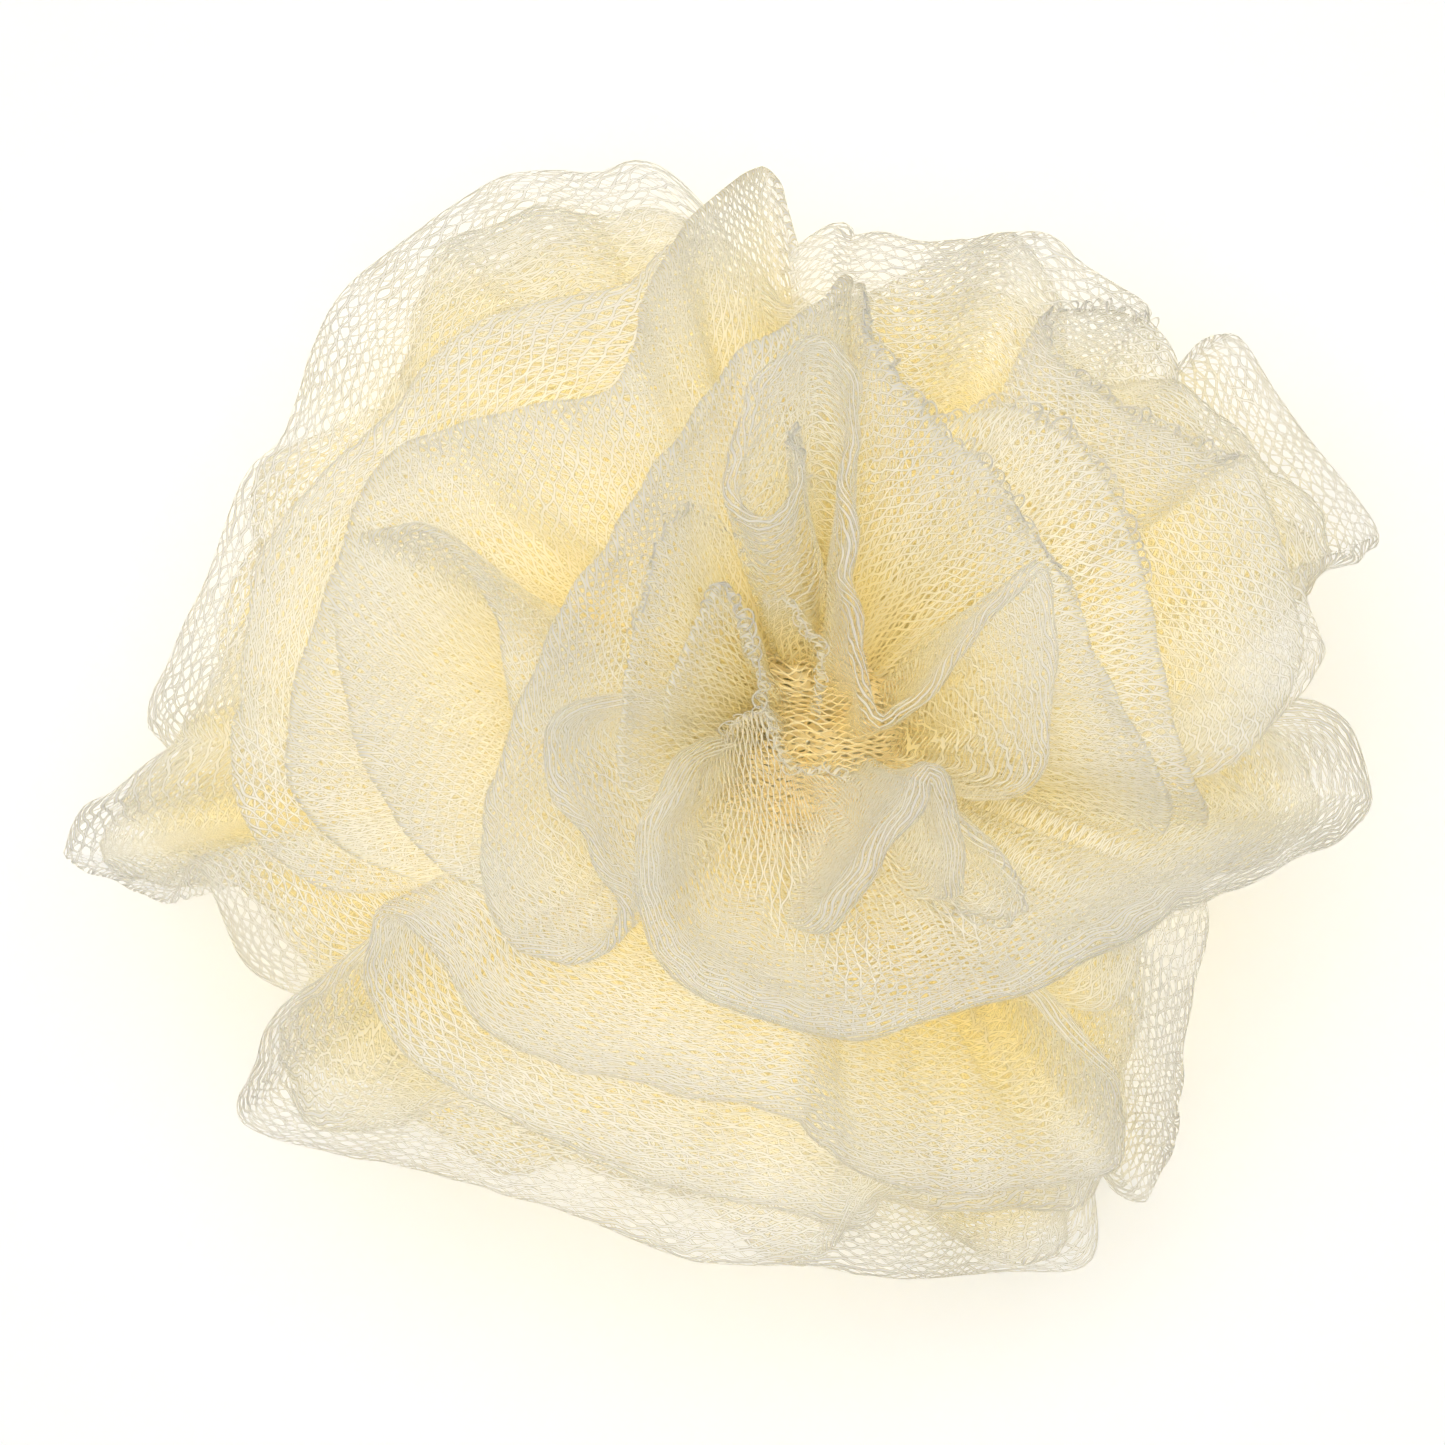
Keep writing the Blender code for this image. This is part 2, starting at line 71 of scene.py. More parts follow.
bpy.ops.mesh.primitive_plane_add(size=FLOOR_SIZE, location=(0, 0, 0))
floor = bpy.context.object
floor.name = "floor"
floor_paint = bpy.data.materials.new("floor_paint")
floor_paint.use_nodes = True
floor_tree = floor_paint.node_tree
floor_shader = floor_tree.nodes["Principled BSDF"]
seen = floor_tree.nodes.new("ShaderNodeLightPath").outputs["Is Camera Ray"]
floor_mix = floor_tree.nodes.new("ShaderNodeMix")
floor_mix.data_type = "RGBA"
floor_mix.inputs[6].default_value = FLOOR_COLOR
floor_mix.inputs[7].default_value = WHITE
floor_lift = floor_tree.nodes.new("ShaderNodeMath")
floor_lift.operation = "MULTIPLY"
floor_lift.inputs[1].default_value = FLOOR_LIFT
floor_tree.links.new(seen, floor_mix.inputs[0])
floor_tree.links.new(seen, floor_lift.inputs[0])
floor_tree.links.new(floor_mix.outputs[2], floor_shader.inputs["Base Color"])
floor_tree.links.new(floor_lift.outputs[0], floor_shader.inputs["Emission Strength"])
floor_shader.inputs["Emission Color"].default_value = WHITE
floor_shader.inputs["Roughness"].default_value = FLOOR_ROUGHNESS
floor_paint.cycles.emission_sampling = "NONE"
floor.data.materials.append(floor_paint)


# The studio light is an even pale surround, brightest straight overhead, as under a broad softbox
# with a soft edge. Edge and blur are cosines of the angle from the softbox's middle.
SURROUND = 0.34
SOFTBOX = 3.7
SOFTBOX_EDGE = 0.925
SOFTBOX_BLUR = 0.05
SOFTBOX_DIRECTION = (-0.05, 0.12, 0.99)

world = bpy.data.worlds.new("surround")
bpy.context.scene.world = world
world.use_nodes = True
world.cycles.sampling_method = "NONE"
sky = world.node_tree
direction = sky.nodes.new("ShaderNodeTexCoord").outputs["Generated"]
towards = sky.nodes.new("ShaderNodeVectorMath")
towards.operation = "DOT_PRODUCT"
towards.inputs[1].default_value = SOFTBOX_DIRECTION
sky.links.new(direction, towards.inputs[0])
glow = sky.nodes.new("ShaderNodeMapRange")
glow.interpolation_type = "SMOOTHSTEP"
sky.links.new(towards.outputs["Value"], glow.inputs["Value"])
glow.inputs["From Min"].default_value = SOFTBOX_EDGE - SOFTBOX_BLUR
glow.inputs["From Max"].default_value = SOFTBOX_EDGE + SOFTBOX_BLUR
glow.inputs["To Min"].default_value = SURROUND
glow.inputs["To Max"].default_value = SOFTBOX
sky.nodes["Background"].inputs["Color"].default_value = WHITE
sky.links.new(glow.outputs[0], sky.nodes["Background"].inputs["Strength"])


# Light passes on from layer to layer of the net. Past three bounces the rest is taken as an even
# glow of what lies within 5 mm, which lights the creases as the many layers behind them do.
BOUNCES = 8
LAYERS_SEEN_THROUGH = 24
GLOW_AFTER = 3
GLOW_REACH = 0.005
GLOW_STRENGTH = 3.4

scene = bpy.context.scene
scene.view_settings.view_transform = "Standard"
scene.cycles.max_bounces = BOUNCES
scene.cycles.diffuse_bounces = BOUNCES
scene.cycles.transmission_bounces = BOUNCES
scene.cycles.transparent_max_bounces = LAYERS_SEEN_THROUGH
scene.cycles.use_fast_gi = True
scene.cycles.fast_gi_method = "REPLACE"
scene.cycles.ao_bounces = GLOW_AFTER
scene.cycles.ao_bounces_render = GLOW_AFTER
world.light_settings.distance = GLOW_REACH
world.light_settings.ao_factor = GLOW_STRENGTH


# The outer folds of the net. The puff is one long flattened tube of fine warp-knitted polyethylene
# net, so each fold is two layers that part round its rim. All folds run in to the root, where the
# tie gathers them. Sizes are in mm, and a rim's path is (x, y, lift over the crown).
NECK = np.array([8.28, -2.19, 33.0])
BUNCH_RISE = 5.5
UPPER_ROOT = NECK + (0, 0, BUNCH_RISE)
CENTRE_SHIFT = np.array([-0.22, -0.19, 0.0])
CROWN_HALF_LENGTH = 68.0
CROWN_HALF_WIDTH = 60.0
CROWN_EDGE_Z = 31.0
CROWN_TOP_Z = 75.0
CROWN_POWER = 1.15
OUTER_DIP = 0.07
UPPER_STEP = 1.1

OUTER_RIMS = {
    "outer_left": [
        (-60.4, -2.3, -2), (-57.2, 3.2, 0), (-53.2, 11.2, 1), (-47.7, 24.2, 1), (-43.2, 29.2, 0),
        (-38.7, 41.2, 1), (-33.7, 47.0, 2), (-21.2, 54.7, 2), (-12.2, 54.2, 0), (-7.2, 55.7, 1),
        (-0.2, 52.7, -2),
    ],
    "second_left": [
        (-48.0, -6.8, -6), (-48.2, 2.2, -3), (-47.9, 11.2, -1), (-46.2, 17.7, 0), (-41.2, 23.7, 0),
        (-33.2, 30.2, 0), (-28.2, 36.2, 0), (-22.2, 40.7, 0), (-16.2, 42.2, 0), (-9.2, 44.2, -1),
        (-1.5, 51.2, -3),
    ],
    "third_left": [
        (-31.5, -18.2, -8), (-38.2, -11.8, -4), (-42.2, -6.8, -2), (-42.9, 0.2, 0), (-41.7, 8.2, 0),
        (-39.4, 15.2, 0), (-36.7, 22.2, 0), (-32.2, 27.2, 0), (-24.2, 29.7, 0), (-16.2, 31.7, 0),
        (-11.0, 32.7, -1), (-9.2, 36.2, 0), (-8.0, 42.2, 0), (-3.2, 49.0, 0), (2.5, 54.9, -2),
        (4.8, 55.3, -3), (6.8, 50.7, -4),
    ],
    "left_pillow": [
        (-20.7, -2.0, -9), (-22.2, 6.2, -3), (-23.7, 12.0, -1), (-28.2, 18.4, 0), (-33.2, 19.2, 0),
        (-37.7, 17.7, -1), (-39.0, 13.2, -1), (-38.2, 6.2, -2), (-35.7, -2.0, -2), (-32.2, -9.2, -2),
        (-28.2, -14.0, -3), (-22.2, -17.5, -5), (-19.0, -20.5, -8),
    ],
    "right_ridge": [
        (13.4, 46.0, -2), (14.4, 40.2, 0), (16.3, 35.0, 1), (20.8, 29.0, 1), (27.8, 22.2, 1),
        (31.8, 16.4, 0), (35.3, 9.7, 0), (39.3, 2.7, -1), (43.3, -4.3, -3), (46.8, -10.6, -6),
    ],
    "right_second": [
        (22.0, 31.5, -9), (26.3, 30.7, -4), (31.8, 29.7, -2), (36.8, 25.4, -1), (40.3, 19.2, -1),
        (42.6, 11.2, -1), (44.0, 3.2, -2), (46.3, -4.8, -3), (51.3, -10.3, -6),
    ],
    "right_arch": [
        (46.0, 39.5, -5), (40.0, 41.0, -1), (34.3, 41.4, 0), (31.8, 39.2, 1), (32.6, 35.7, 1),
        (37.8, 32.2, 1), (44.8, 28.7, 1), (49.3, 26.0, 1), (52.3, 26.2, 0), (54.3, 21.7, 0),
        (56.8, 13.2, 0), (58.1, 8.2, 0), (56.8, 3.2, -1), (52.8, -2.3, -3), (47.3, -4.0, -6),
    ],
    "outer_top": [
        (6.8, 50.0, -2), (11.6, 50.0, -1), (12.8, 47.7, -1), (15.8, 48.0, 0), (20.3, 47.2, 0),
        (30.8, 49.0, 1), (35.3, 46.0, 0), (41.6, 42.8, -1), (42.0, 40.8, -1), (46.3, 36.7, -2),
        (48.0, 33.5, -5),
    ],
    "outer_right": [
        (44.5, 35.0, -5), (51.3, 39.2, 2), (56.8, 32.2, 2), (65.3, 20.2, 2), (63.8, 17.2, 1),
        (58.3, 14.2, -1), (59.6, 8.5, -1), (60.3, 6.7, 0), (57.5, 2.0, -2), (54.0, -3.0, -5),
    ],
    "outer_front": [
        (39.8, -47.6, -3), (37.3, -55.3, 1), (28.0, -55.8, 2), (18.3, -55.6, 2), (7.8, -53.4, 2),
        (-3.2, -52.6, 2), (-12.7, -49.3, 2), (-32.2, -44.8, 2), (-42.2, -42.6, 2), (-49.0, -39.6, 2),
        (-48.2, -34.8, 1), (-45.7, -29.3, 0), (-39.2, -25.3, -2), (-35.7, -22.0, -5),
    ],
    "outer_corner": [
        (51.8, -17.3, -4), (48.3, -23.8, 0), (47.3, -28.8, 1), (46.3, -37.8, 1), (44.6, -45.8, 1),
        (42.8, -48.6, 0), (39.0, -46.0, -4),
    ],
    "outer_tail": [
        (-44.7, -28.8, -4), (-48.2, -22.8, 0), (-50.4, -16.3, 0), (-52.7, -13.6, 0), (-55.7, -16.8, 1),
        (-59.2, -15.6, 2), (-65.0, -13.5, 3), (-65.4, -12.1, 3), (-64.2, -9.0, 2), (-61.0, -5.0, 0),
        (-58.5, -1.5, -3),
    ],
    "tail_inner": [
        (-31.0, -19.0, -8), (-38.0, -17.0, -4), (-44.0, -13.5, -2), (-47.5, -8.5, -1), (-49.0, -2.0, -2),
        (-51.0, 4.0, -4),
    ],
}

# How a fold lies: the seed of its waves, the radius of its rim, the angle in degrees between its
# strands and its rim at either end, how far its cells are pulled open, and how strongly painted shade
# yellows it inside.
Habit = namedtuple("Habit", "seed radius grain opening yellowing")
OUTER_HABITS = {
    "outer_left": Habit(1.0, 0.5, (12, 12), 0.75, 0.9),
    "second_left": Habit(2.0, 0.5, (15, 20), 0.5, 0.9),
    "third_left": Habit(3.0, 0.5, (70, 60), 0.45, 0.6),
    "left_pillow": Habit(4.0, 0.5, (35, 60), 0.6, 0.8),
    "right_ridge": Habit(7.0, 0.45, (60, 80), 0.55, 0.8),
    "right_second": Habit(8.0, 0.45, (75, 75), 0.6, 0.9),
    "right_arch": Habit(9.0, 0.5, (30, 30), 0.65, 0.9),
    "outer_top": Habit(10.0, 0.5, (20, 20), 0.75, 0.9),
    "outer_right": Habit(11.0, 0.55, (25, 25), 0.8, 0.8),
    "outer_front": Habit(21.0, 0.7, (10, 10), 0.6, 0.9),
    "outer_corner": Habit(22.0, 0.6, (20, 20), 0.65, 0.7),
    "outer_tail": Habit(23.0, 0.6, (25, 25), 0.8, 0.7),
    "tail_inner": Habit(24.0, 0.5, (30, 30), 0.7, 0.8),
}


def crown_height(x, y):
    """Height of the crown over the point (x, y)."""
    out = (x / CROWN_HALF_LENGTH) ** 2 + (y / CROWN_HALF_WIDTH) ** 2
    return CROWN_EDGE_Z + (CROWN_TOP_Z - CROWN_EDGE_Z) * np.clip(1.0 - out, 0, 1) ** (CROWN_POWER / 2)


def spline(points, step, closed=False):
    """Evenly spaced points along a smooth curve through the given ones, and their arc length."""
    p = np.array(points, float)
    p = np.vstack([p[-1], p, p[0], p[1]] if closed else [2 * p[0] - p[1], p, 2 * p[-1] - p[-2]])
    fine = []
    for a, b, c, d in zip(p, p[1:], p[2:], p[3:]):
        t = np.linspace(0, 1, 16, endpoint=False)[:, None]
        fine.append(0.5 * (2 * b + (c - a) * t + (2 * a - 5 * b + 4 * c - d) * t**2
                           + (3 * b - a - 3 * c + d) * t**3))
    fine = np.vstack(fine + [p[-2][None]])
    along = np.concatenate([[0], np.cumsum(np.linalg.norm(np.diff(fine, axis=0), axis=1))])
    at = np.linspace(0, along[-1], max(8, round(along[-1] / step)) + 1)
    if closed:
        at = at[:-1]
    return np.stack([np.interp(at, along, fine[:, k]) for k in range(3)], axis=1), at


def upper_rim(path):
    """The rim of an upper fold: its path raised on to the crown, and its arc length."""
    raised = np.array([(x, y, crown_height(x, y) + lift) for x, y, lift in path])
    return spline(raised + CENTRE_SHIFT, UPPER_STEP)


# Slack net sags between its rim and its root, and drifts a little to and fro over 24 mm or so. The
# drift has the solid's own seed, so the sheets lie where the folds of the solid lie.
BILLOW = 5.0
BILLOW_REACH = 66.0
CRUMPLE = 1.6
CRUMPLE_LENGTH = 24.0
CRUMPLE_SPREAD = 2.5
STIFF_HEIGHT = 12.0
DRIFT_SEED = 1796028936
noise.seed_set(DRIFT_SEED)


def soften(points):
    """Where the sagging and crumpling of the net takes its points."""
    out = np.minimum(1.0, np.hypot(points[..., 0] - NECK[0], points[..., 1] - NECK[1]) / BILLOW_REACH)
    above = np.clip((points[..., 2] - NECK[2]) / STIFF_HEIGHT, 0.0, 1.0)
    raised = points.copy()
    raised[..., 2] += BILLOW * np.sin(np.pi * out) * above
    flat = raised.reshape(-1, 3) / CRUMPLE_LENGTH
    drift = np.array([noise.noise_vector(Vector(q)) for q in flat]).reshape(points.shape)
    off_floor = np.clip(raised[..., 2] / STIFF_HEIGHT, 0.0, 1.0)
    reach = CRUMPLE * np.minimum(1.0, out * CRUMPLE_SPREAD) * off_floor
    return raised + drift * reach[..., None]


# The waves of a fold. Each is its height, its spacing along the rim and towards the root, and the
# shift of its seed. Gathers run from the rim to the root, and the rest are smaller than that.
RIM_SWELL = (0.5, 22.0, 1.0, 3)
GATHERS = ((1.6, 15.0, 40.0, 0), (1.6, 6.0, 26.0, 7), (0.9, 2.8, 24.0, 11))
RIM_RUFFLE = (1.1, 5.0, 12.0, 9)
LAYER_PUFF = (1.3, 16.0, 20.0, 30)
LAYER_WRINKLES = ((1, (0.5, 5.0, 12.0, 20)), (-1, (0.5, 5.0, 12.0, -20)))
STRANDS_STRETCH = (0.7, 9.0, 9.0, 50)
STRANDS_WANDER = ((2.2, 24.0, 24.0, 60), (0.5, 8.0, 8.0, 70))
CELLS_OPEN = (0.7, 14.0, 14.0, 90)
STREAK = (1.0, 2.4, 1.0, 95)
STREAK_LENGTH = 1.5


def ripple(a, b, seed, wave):
    """Smooth noise over a fold, as high as the wave says, at the given arc and depth."""
    height, along, across, shift = wave
    flat = np.stack([(a / along).ravel(), (b / across).ravel(), np.full(a.size, seed + shift)], axis=1)
    return height * np.array([noise.noise(Vector(q)) for q in flat]).reshape(a.shape)


# The section of a fold: close layers from the root, which part over the last 8 mm into the rim.
LAYER_GAP = 0.4
ROOT_PINCH = 0.2
ROOT_START = 1.2
ROOT_CROWDING = 0.9
RIM_REACH = 8.0
RIM_BAND = 3.2
END_LENGTH = 9.0
GATHER_FADE = 0.7
ROOT_ROWS = 18
NEAR_ROWS = 6
RIM_ROWS = 7
APEX_ROW = ROOT_ROWS + NEAR_ROWS + RIM_ROWS - 1

# What net_piece joins into one mesh: a grid of points, the net's coordinates on it, how far its
# strands swing, how wide they are, how strongly painted shade yellows them inside, and whether its
# columns close.
Patch = namedtuple("Patch", "points net swing width yellow closed")


def fold_rows(reach, bulb):
    """The rows of a fold: their share of the way to the rim, and half the gap between the layers."""
    shares, halves = [], []
    for step in np.linspace(0, 1, ROOT_ROWS, endpoint=False) ** ROOT_CROWDING:
        shares.append((ROOT_START + (reach - RIM_REACH - ROOT_START) * step) / reach)
        halves.append(np.full_like(reach, LAYER_GAP * (ROOT_PINCH + (1 - ROOT_PINCH) * step)))
    for step in np.linspace(0, 1, NEAR_ROWS, endpoint=False):
        shares.append(1.0 - (RIM_REACH + (bulb - RIM_REACH) * step) / reach)
        halves.append(LAYER_GAP + (bulb - LAYER_GAP) * (0.5 - 0.5 * math.cos(math.pi * step)))
    for angle in np.linspace(0, math.pi / 2, RIM_ROWS):
        shares.append(1.0 - bulb * (1.0 - math.sin(angle)) / reach)
        halves.append(bulb * math.cos(angle))
    return np.array(shares), np.array(halves)


def fold(rim, arc, root, habit, dip=0.0, closed=False):
    """One fold: out from the root along one layer, round the rim and back along the other."""
    reach = np.linalg.norm(rim - root, axis=1)
    bulb = habit.radius * (1.0 + ripple(arc, 0 * arc, habit.seed, RIM_SWELL))
    share, half = fold_rows(reach, bulb)
    close = np.clip(1.0 - (1.0 - share) * reach / (RIM_BAND * bulb), 0, 1)
    if not closed:
        end = np.clip(1.0 - np.minimum(arc, arc[-1] - arc) / END_LENGTH, 0, 1)
        share = share * (1.0 - dip * end**2)
    middle = root + (rim - root)[None] * share[..., None]
    along = np.gradient(middle, axis=1)
    if closed:
        along = (np.roll(middle, -1, 1) - np.roll(middle, 1, 1)) / 2
    out = (rim - root)[None] / reach[None, :, None]
    normal = np.cross(along, np.broadcast_to(out, along.shape))
    normal /= np.maximum(1e-9, np.linalg.norm(normal, axis=2, keepdims=True))
    a = np.broadcast_to(arc, share.shape)
    b = share * reach
    pleat = np.sin(np.pi * np.clip(share, 0, 1)) ** GATHER_FADE
    sway = sum(ripple(a, b, habit.seed, wave) for wave in GATHERS) * pleat
    sway = sway + ripple(a, b, habit.seed, RIM_RUFFLE) * close
    middle = middle + normal * sway[..., None]
    puff = np.maximum(0, ripple(a, b, habit.seed, LAYER_PUFF)) * pleat * (1 - close)
    layers = []
    for side, wrinkle in LAYER_WRINKLES:
        own = ripple(a, b, habit.seed, wrinkle) * pleat
        layers.append(middle + normal * (side * (half + puff) + own)[..., None])
    points = soften(np.concatenate([layers[0], layers[1][-2::-1]]))
    return Patch(points, *lay_net(points, arc, share, close, habit), closed)


# How the net lies on a fold. A cell's swing and a strand's width are in pitches of the strands.
# Cells shut where the net is slack, and at a rim, where the strands lie side by side.
SHUT_SWING = 0.25
OPEN_SWING = 0.22
RIM_STRAIGHTENS = 0.8
SHUT_WIDTH = 0.25
OPEN_WIDTH = -0.11
RIM_WIDTH = 0.04
CROSSING_WIDTH = 0.2
MOST_WIDTH = 0.6
LEAST_SHARE = 0.2
FAN_POWER = 0.6
# Painted shade is weaker at a rim and stronger along the streaks, which also open the cells.
RIM_SHADE_LOSS = 0.85
STREAK_OPENS = 0.6
STREAK_SHADES = 0.8


def lay_net(points, arc, share, close, habit):
    """The net on a fold: its coordinates, its cells' swing, its strands' width and the strength of its
    painted shade.
    """
    grids = (np.broadcast_to(arc, share.shape), share, close)
    a, share, close = (np.concatenate([grid, grid[-2::-1]]) for grid in grids)
    travel = np.linalg.norm(np.diff(points, axis=0), axis=2).mean(axis=1)
    depth = (np.concatenate([[0], np.cumsum(travel)]) - travel.sum() / 2)[:, None]
    depth = np.broadcast_to(depth, a.shape)
    turn = np.radians(np.interp(arc, (0, arc[-1]), habit.grain))
    cos, sin = np.cos(turn), np.sin(turn)
    step = np.gradient(arc)
    spread = (a - arc[-1] / 2) * (share ** (FAN_POWER * cos**2) - 1.0)
    along_net = np.cumsum(cos * step) + cos * spread + sin * depth
    along_net = along_net + ripple(a, depth, habit.seed, STRANDS_STRETCH)
    across_net = cos * depth - np.cumsum(sin * step) - sin * spread
    for wave in STRANDS_WANDER:
        across_net = across_net + ripple(a, depth, habit.seed, wave)
    streak = ripple(a, share * STREAK_LENGTH, habit.seed, STREAK)
    opened = habit.opening + ripple(a, depth, habit.seed, CELLS_OPEN) + STREAK_OPENS * streak
    opened = np.clip(opened, 0, 1)
    squeeze = cos**2 + sin**2 / np.maximum(share, LEAST_SHARE)
    swing = (SHUT_SWING + OPEN_SWING * opened) * (1.0 - RIM_STRAIGHTENS * cos**2 * close)
    width = (SHUT_WIDTH + OPEN_WIDTH * opened) * squeeze + (RIM_WIDTH + CROSSING_WIDTH * sin**2) * close
    # The strength of the painted shade in the folds.
    yellow = habit.yellowing * (1.0 - RIM_SHADE_LOSS * close) * (1.0 + STREAK_SHADES * streak)
    return np.stack([along_net, across_net], axis=-1), swing, np.minimum(width, MOST_WIDTH), yellow


# How far under the crown the net lies before its painted shade is at its yellowest, and how it gets
# there.
SHADE_START = 1.5
SHADE_REACH = 21.0
SHADE_POWER = 1.6
LEAST_Z = 0.1


def net_piece(name, patches):
    """A mesh of several patches, with the net's coordinates as its UV map and its knit and painted shade
    as attributes.
    """
    faces = []
    count = 0
    for patch in patches:
        rows, columns = patch.swing.shape
        index = np.arange(rows * columns).reshape(rows, columns) + count
        if patch.closed:
            index = np.hstack([index, index[:, :1]])
        quads = np.stack([index[:-1, :-1], index[:-1, 1:], index[1:, 1:], index[1:, :-1]], axis=-1)
        faces.append(quads.reshape(-1, 4))
        count += rows * columns
    quads = np.vstack(faces)
    level = np.vstack([patch.points.reshape(-1, 3) for patch in patches])
    level[:, 2] = np.maximum(level[:, 2], LEAST_Z)
    net = np.vstack([patch.net.reshape(-1, 2) for patch in patches])
    swing, width, yellow = (
        np.concatenate([getattr(patch, field).ravel() for patch in patches])
        for field in ("swing", "width", "yellow")
    )
    mesh = bpy.data.meshes.new(name)
    mesh.vertices.add(len(level))
    mesh.vertices.foreach_set("co", (level * MM).ravel())
    mesh.loops.add(quads.size)
    mesh.loops.foreach_set("vertex_index", quads.ravel())
    mesh.polygons.add(len(quads))
    mesh.polygons.foreach_set("loop_start", np.arange(0, quads.size, 4))
    mesh.polygons.foreach_set("use_smooth", np.ones(len(quads), bool))
    mesh.update(calc_edges=True)
    layer = mesh.uv_layers.new(name="net")
    layer.data.foreach_set("uv", net[quads.ravel()].ravel())
    # Painted shade: the deeper a point lies under the crown, the yellower it is painted, standing in for
    # light passed among the layers.
    under = crown_height(level[:, 0], level[:, 1]) + SHADE_START - level[:, 2]
    depth_shade = np.clip(under / SHADE_REACH, 0, 1) ** SHADE_POWER * yellow
    knit_and_shade = mesh.attributes.new("knit_and_shade", "FLOAT_VECTOR", "POINT")
    knit_and_shade.data.foreach_set("vector", np.stack([swing, width, depth_shade], axis=1).ravel())
    piece = bpy.data.objects.new(name, mesh)
    bpy.context.collection.objects.link(piece)
    return piece


# The knit: wavy strands 0.5 mm apart that meet by turns, so a cell is 3.1 mm long. A strand is painted
# with shade:
# paler along its middle, yellower at its edges as a round thread is shaded, and yellower the deeper it
# lies.
STRAND_PITCH = 0.5
CELL_LENGTH = 3.1
STRAY_SCALE = 0.35
STRAY = 1.6
EDGE_BLUR = 0.05
UNSHADED_CORE = 0.04
SHADED_SIDE = 0.26
SIDE_SHADE_YELLOW = 0.6
DEPTH_SHADE_YELLOW = 0.8


def net_material(name, pale, yellow, share_through):
    """Fine warp-knitted net: wavy strands that meet by turns and leave spindle-shaped holes, with
    painted shade at the strands' edges and deep in the folds.
    """
    material = bpy.data.materials.new(name)
    material.use_nodes = True
    tree = material.node_tree
    tree.nodes.clear()

    def node(kind, **values):
        made = tree.nodes.new(kind)
        for key, value in values.items():
            setattr(made, key, value)
        return made

    def math_of(operation, *inputs):
        made = node("ShaderNodeMath", operation=operation)
        for socket, value in zip(made.inputs, inputs):
            if isinstance(value, (int, float)):
                socket.default_value = value
            else:
                tree.links.new(value, socket)
        return made.outputs[0]

    def mix_of(share, first, second):
        made = node("ShaderNodeMixShader")
        if isinstance(share, float):
            made.inputs[0].default_value = share
        else:
            tree.links.new(share, made.inputs[0])
        tree.links.new(first.outputs[0], made.inputs[1])
        tree.links.new(second.outputs[0], made.inputs[2])
        return made

    uv = node("ShaderNodeUVMap", uv_map="net").outputs[0]
    apart = node("ShaderNodeSeparateXYZ")
    tree.links.new(uv, apart.inputs[0])
    knit_and_shade = node("ShaderNodeSeparateXYZ")
    tree.links.new(node("ShaderNodeAttribute", attribute_name="knit_and_shade").outputs["Vector"], knit_and_shade.inputs[0])
    swing, width, depth_shade = knit_and_shade.outputs
    stray = node("ShaderNodeTexNoise", noise_dimensions="2D")
    stray.inputs["Scale"].default_value = STRAY_SCALE
    stray.inputs["Detail"].default_value = 0.0
    tree.links.new(uv, stray.inputs["Vector"])
    along = math_of("MULTIPLY", apart.outputs[0], math.tau / CELL_LENGTH)
    across = math_of("DIVIDE", apart.outputs[1], STRAND_PITCH)
    across = math_of("ADD", across, math_of("MULTIPLY", stray.outputs["Fac"], STRAY))
    sideways = math_of("MULTIPLY", math_of("SINE", along), swing)
    even = math_of("PINGPONG", math_of("SUBTRACT", across, sideways), 1.0)
    odd = math_of("SUBTRACT", 1.0, math_of("PINGPONG", math_of("ADD", across, sideways), 1.0))
    distance = math_of("MINIMUM", even, odd)
    strand = node("ShaderNodeMapRange", interpolation_type="LINEAR")
    tree.links.new(math_of("SUBTRACT", distance, width), strand.inputs["Value"])
    strand.inputs["From Min"].default_value = -EDGE_BLUR
    strand.inputs["From Max"].default_value = EDGE_BLUR
    strand.inputs["To Min"].default_value = 1.0
    strand.inputs["To Max"].default_value = 0.0

    # Painted shade: the colour turns yellow towards a strand's edges and where the net lies deep in the
    # folds.
    side = node("ShaderNodeMapRange", interpolation_type="SMOOTHSTEP")
    tree.links.new(distance, side.inputs["Value"])
    side.inputs["From Min"].default_value = UNSHADED_CORE
    side.inputs["From Max"].default_value = SHADED_SIDE
    side.inputs["To Max"].default_value = SIDE_SHADE_YELLOW
    shade_amount = node("ShaderNodeMath", operation="ADD", use_clamp=True)
    tree.links.new(side.outputs[0], shade_amount.inputs[0])
    tree.links.new(math_of("MULTIPLY", depth_shade, DEPTH_SHADE_YELLOW), shade_amount.inputs[1])
    shade_tint = node("ShaderNodeMix", data_type="RGBA")
    tree.links.new(shade_amount.outputs[0], shade_tint.inputs[0])
    shade_tint.inputs[6].default_value = (*pale, 1)
    shade_tint.inputs[7].default_value = (*yellow, 1)
    plastic = node("ShaderNodeBsdfDiffuse")
    through = node("ShaderNodeBsdfTranslucent")
    tree.links.new(shade_tint.outputs[2], plastic.inputs["Color"])
    tree.links.new(shade_tint.outputs[2], through.inputs["Color"])
    hole = node("ShaderNodeBsdfTransparent")
    net = mix_of(strand.outputs[0], hole, mix_of(share_through, plastic, through))
    tree.links.new(net.outputs[0], node("ShaderNodeOutputMaterial").inputs[0])
    return material


def declare_net(piece, paint):
    """Gives a piece of the net its paint, hangs it on the root and hides the solid netting."""
    piece.data.materials.append(paint)
    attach(piece, "root")
    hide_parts("netting")


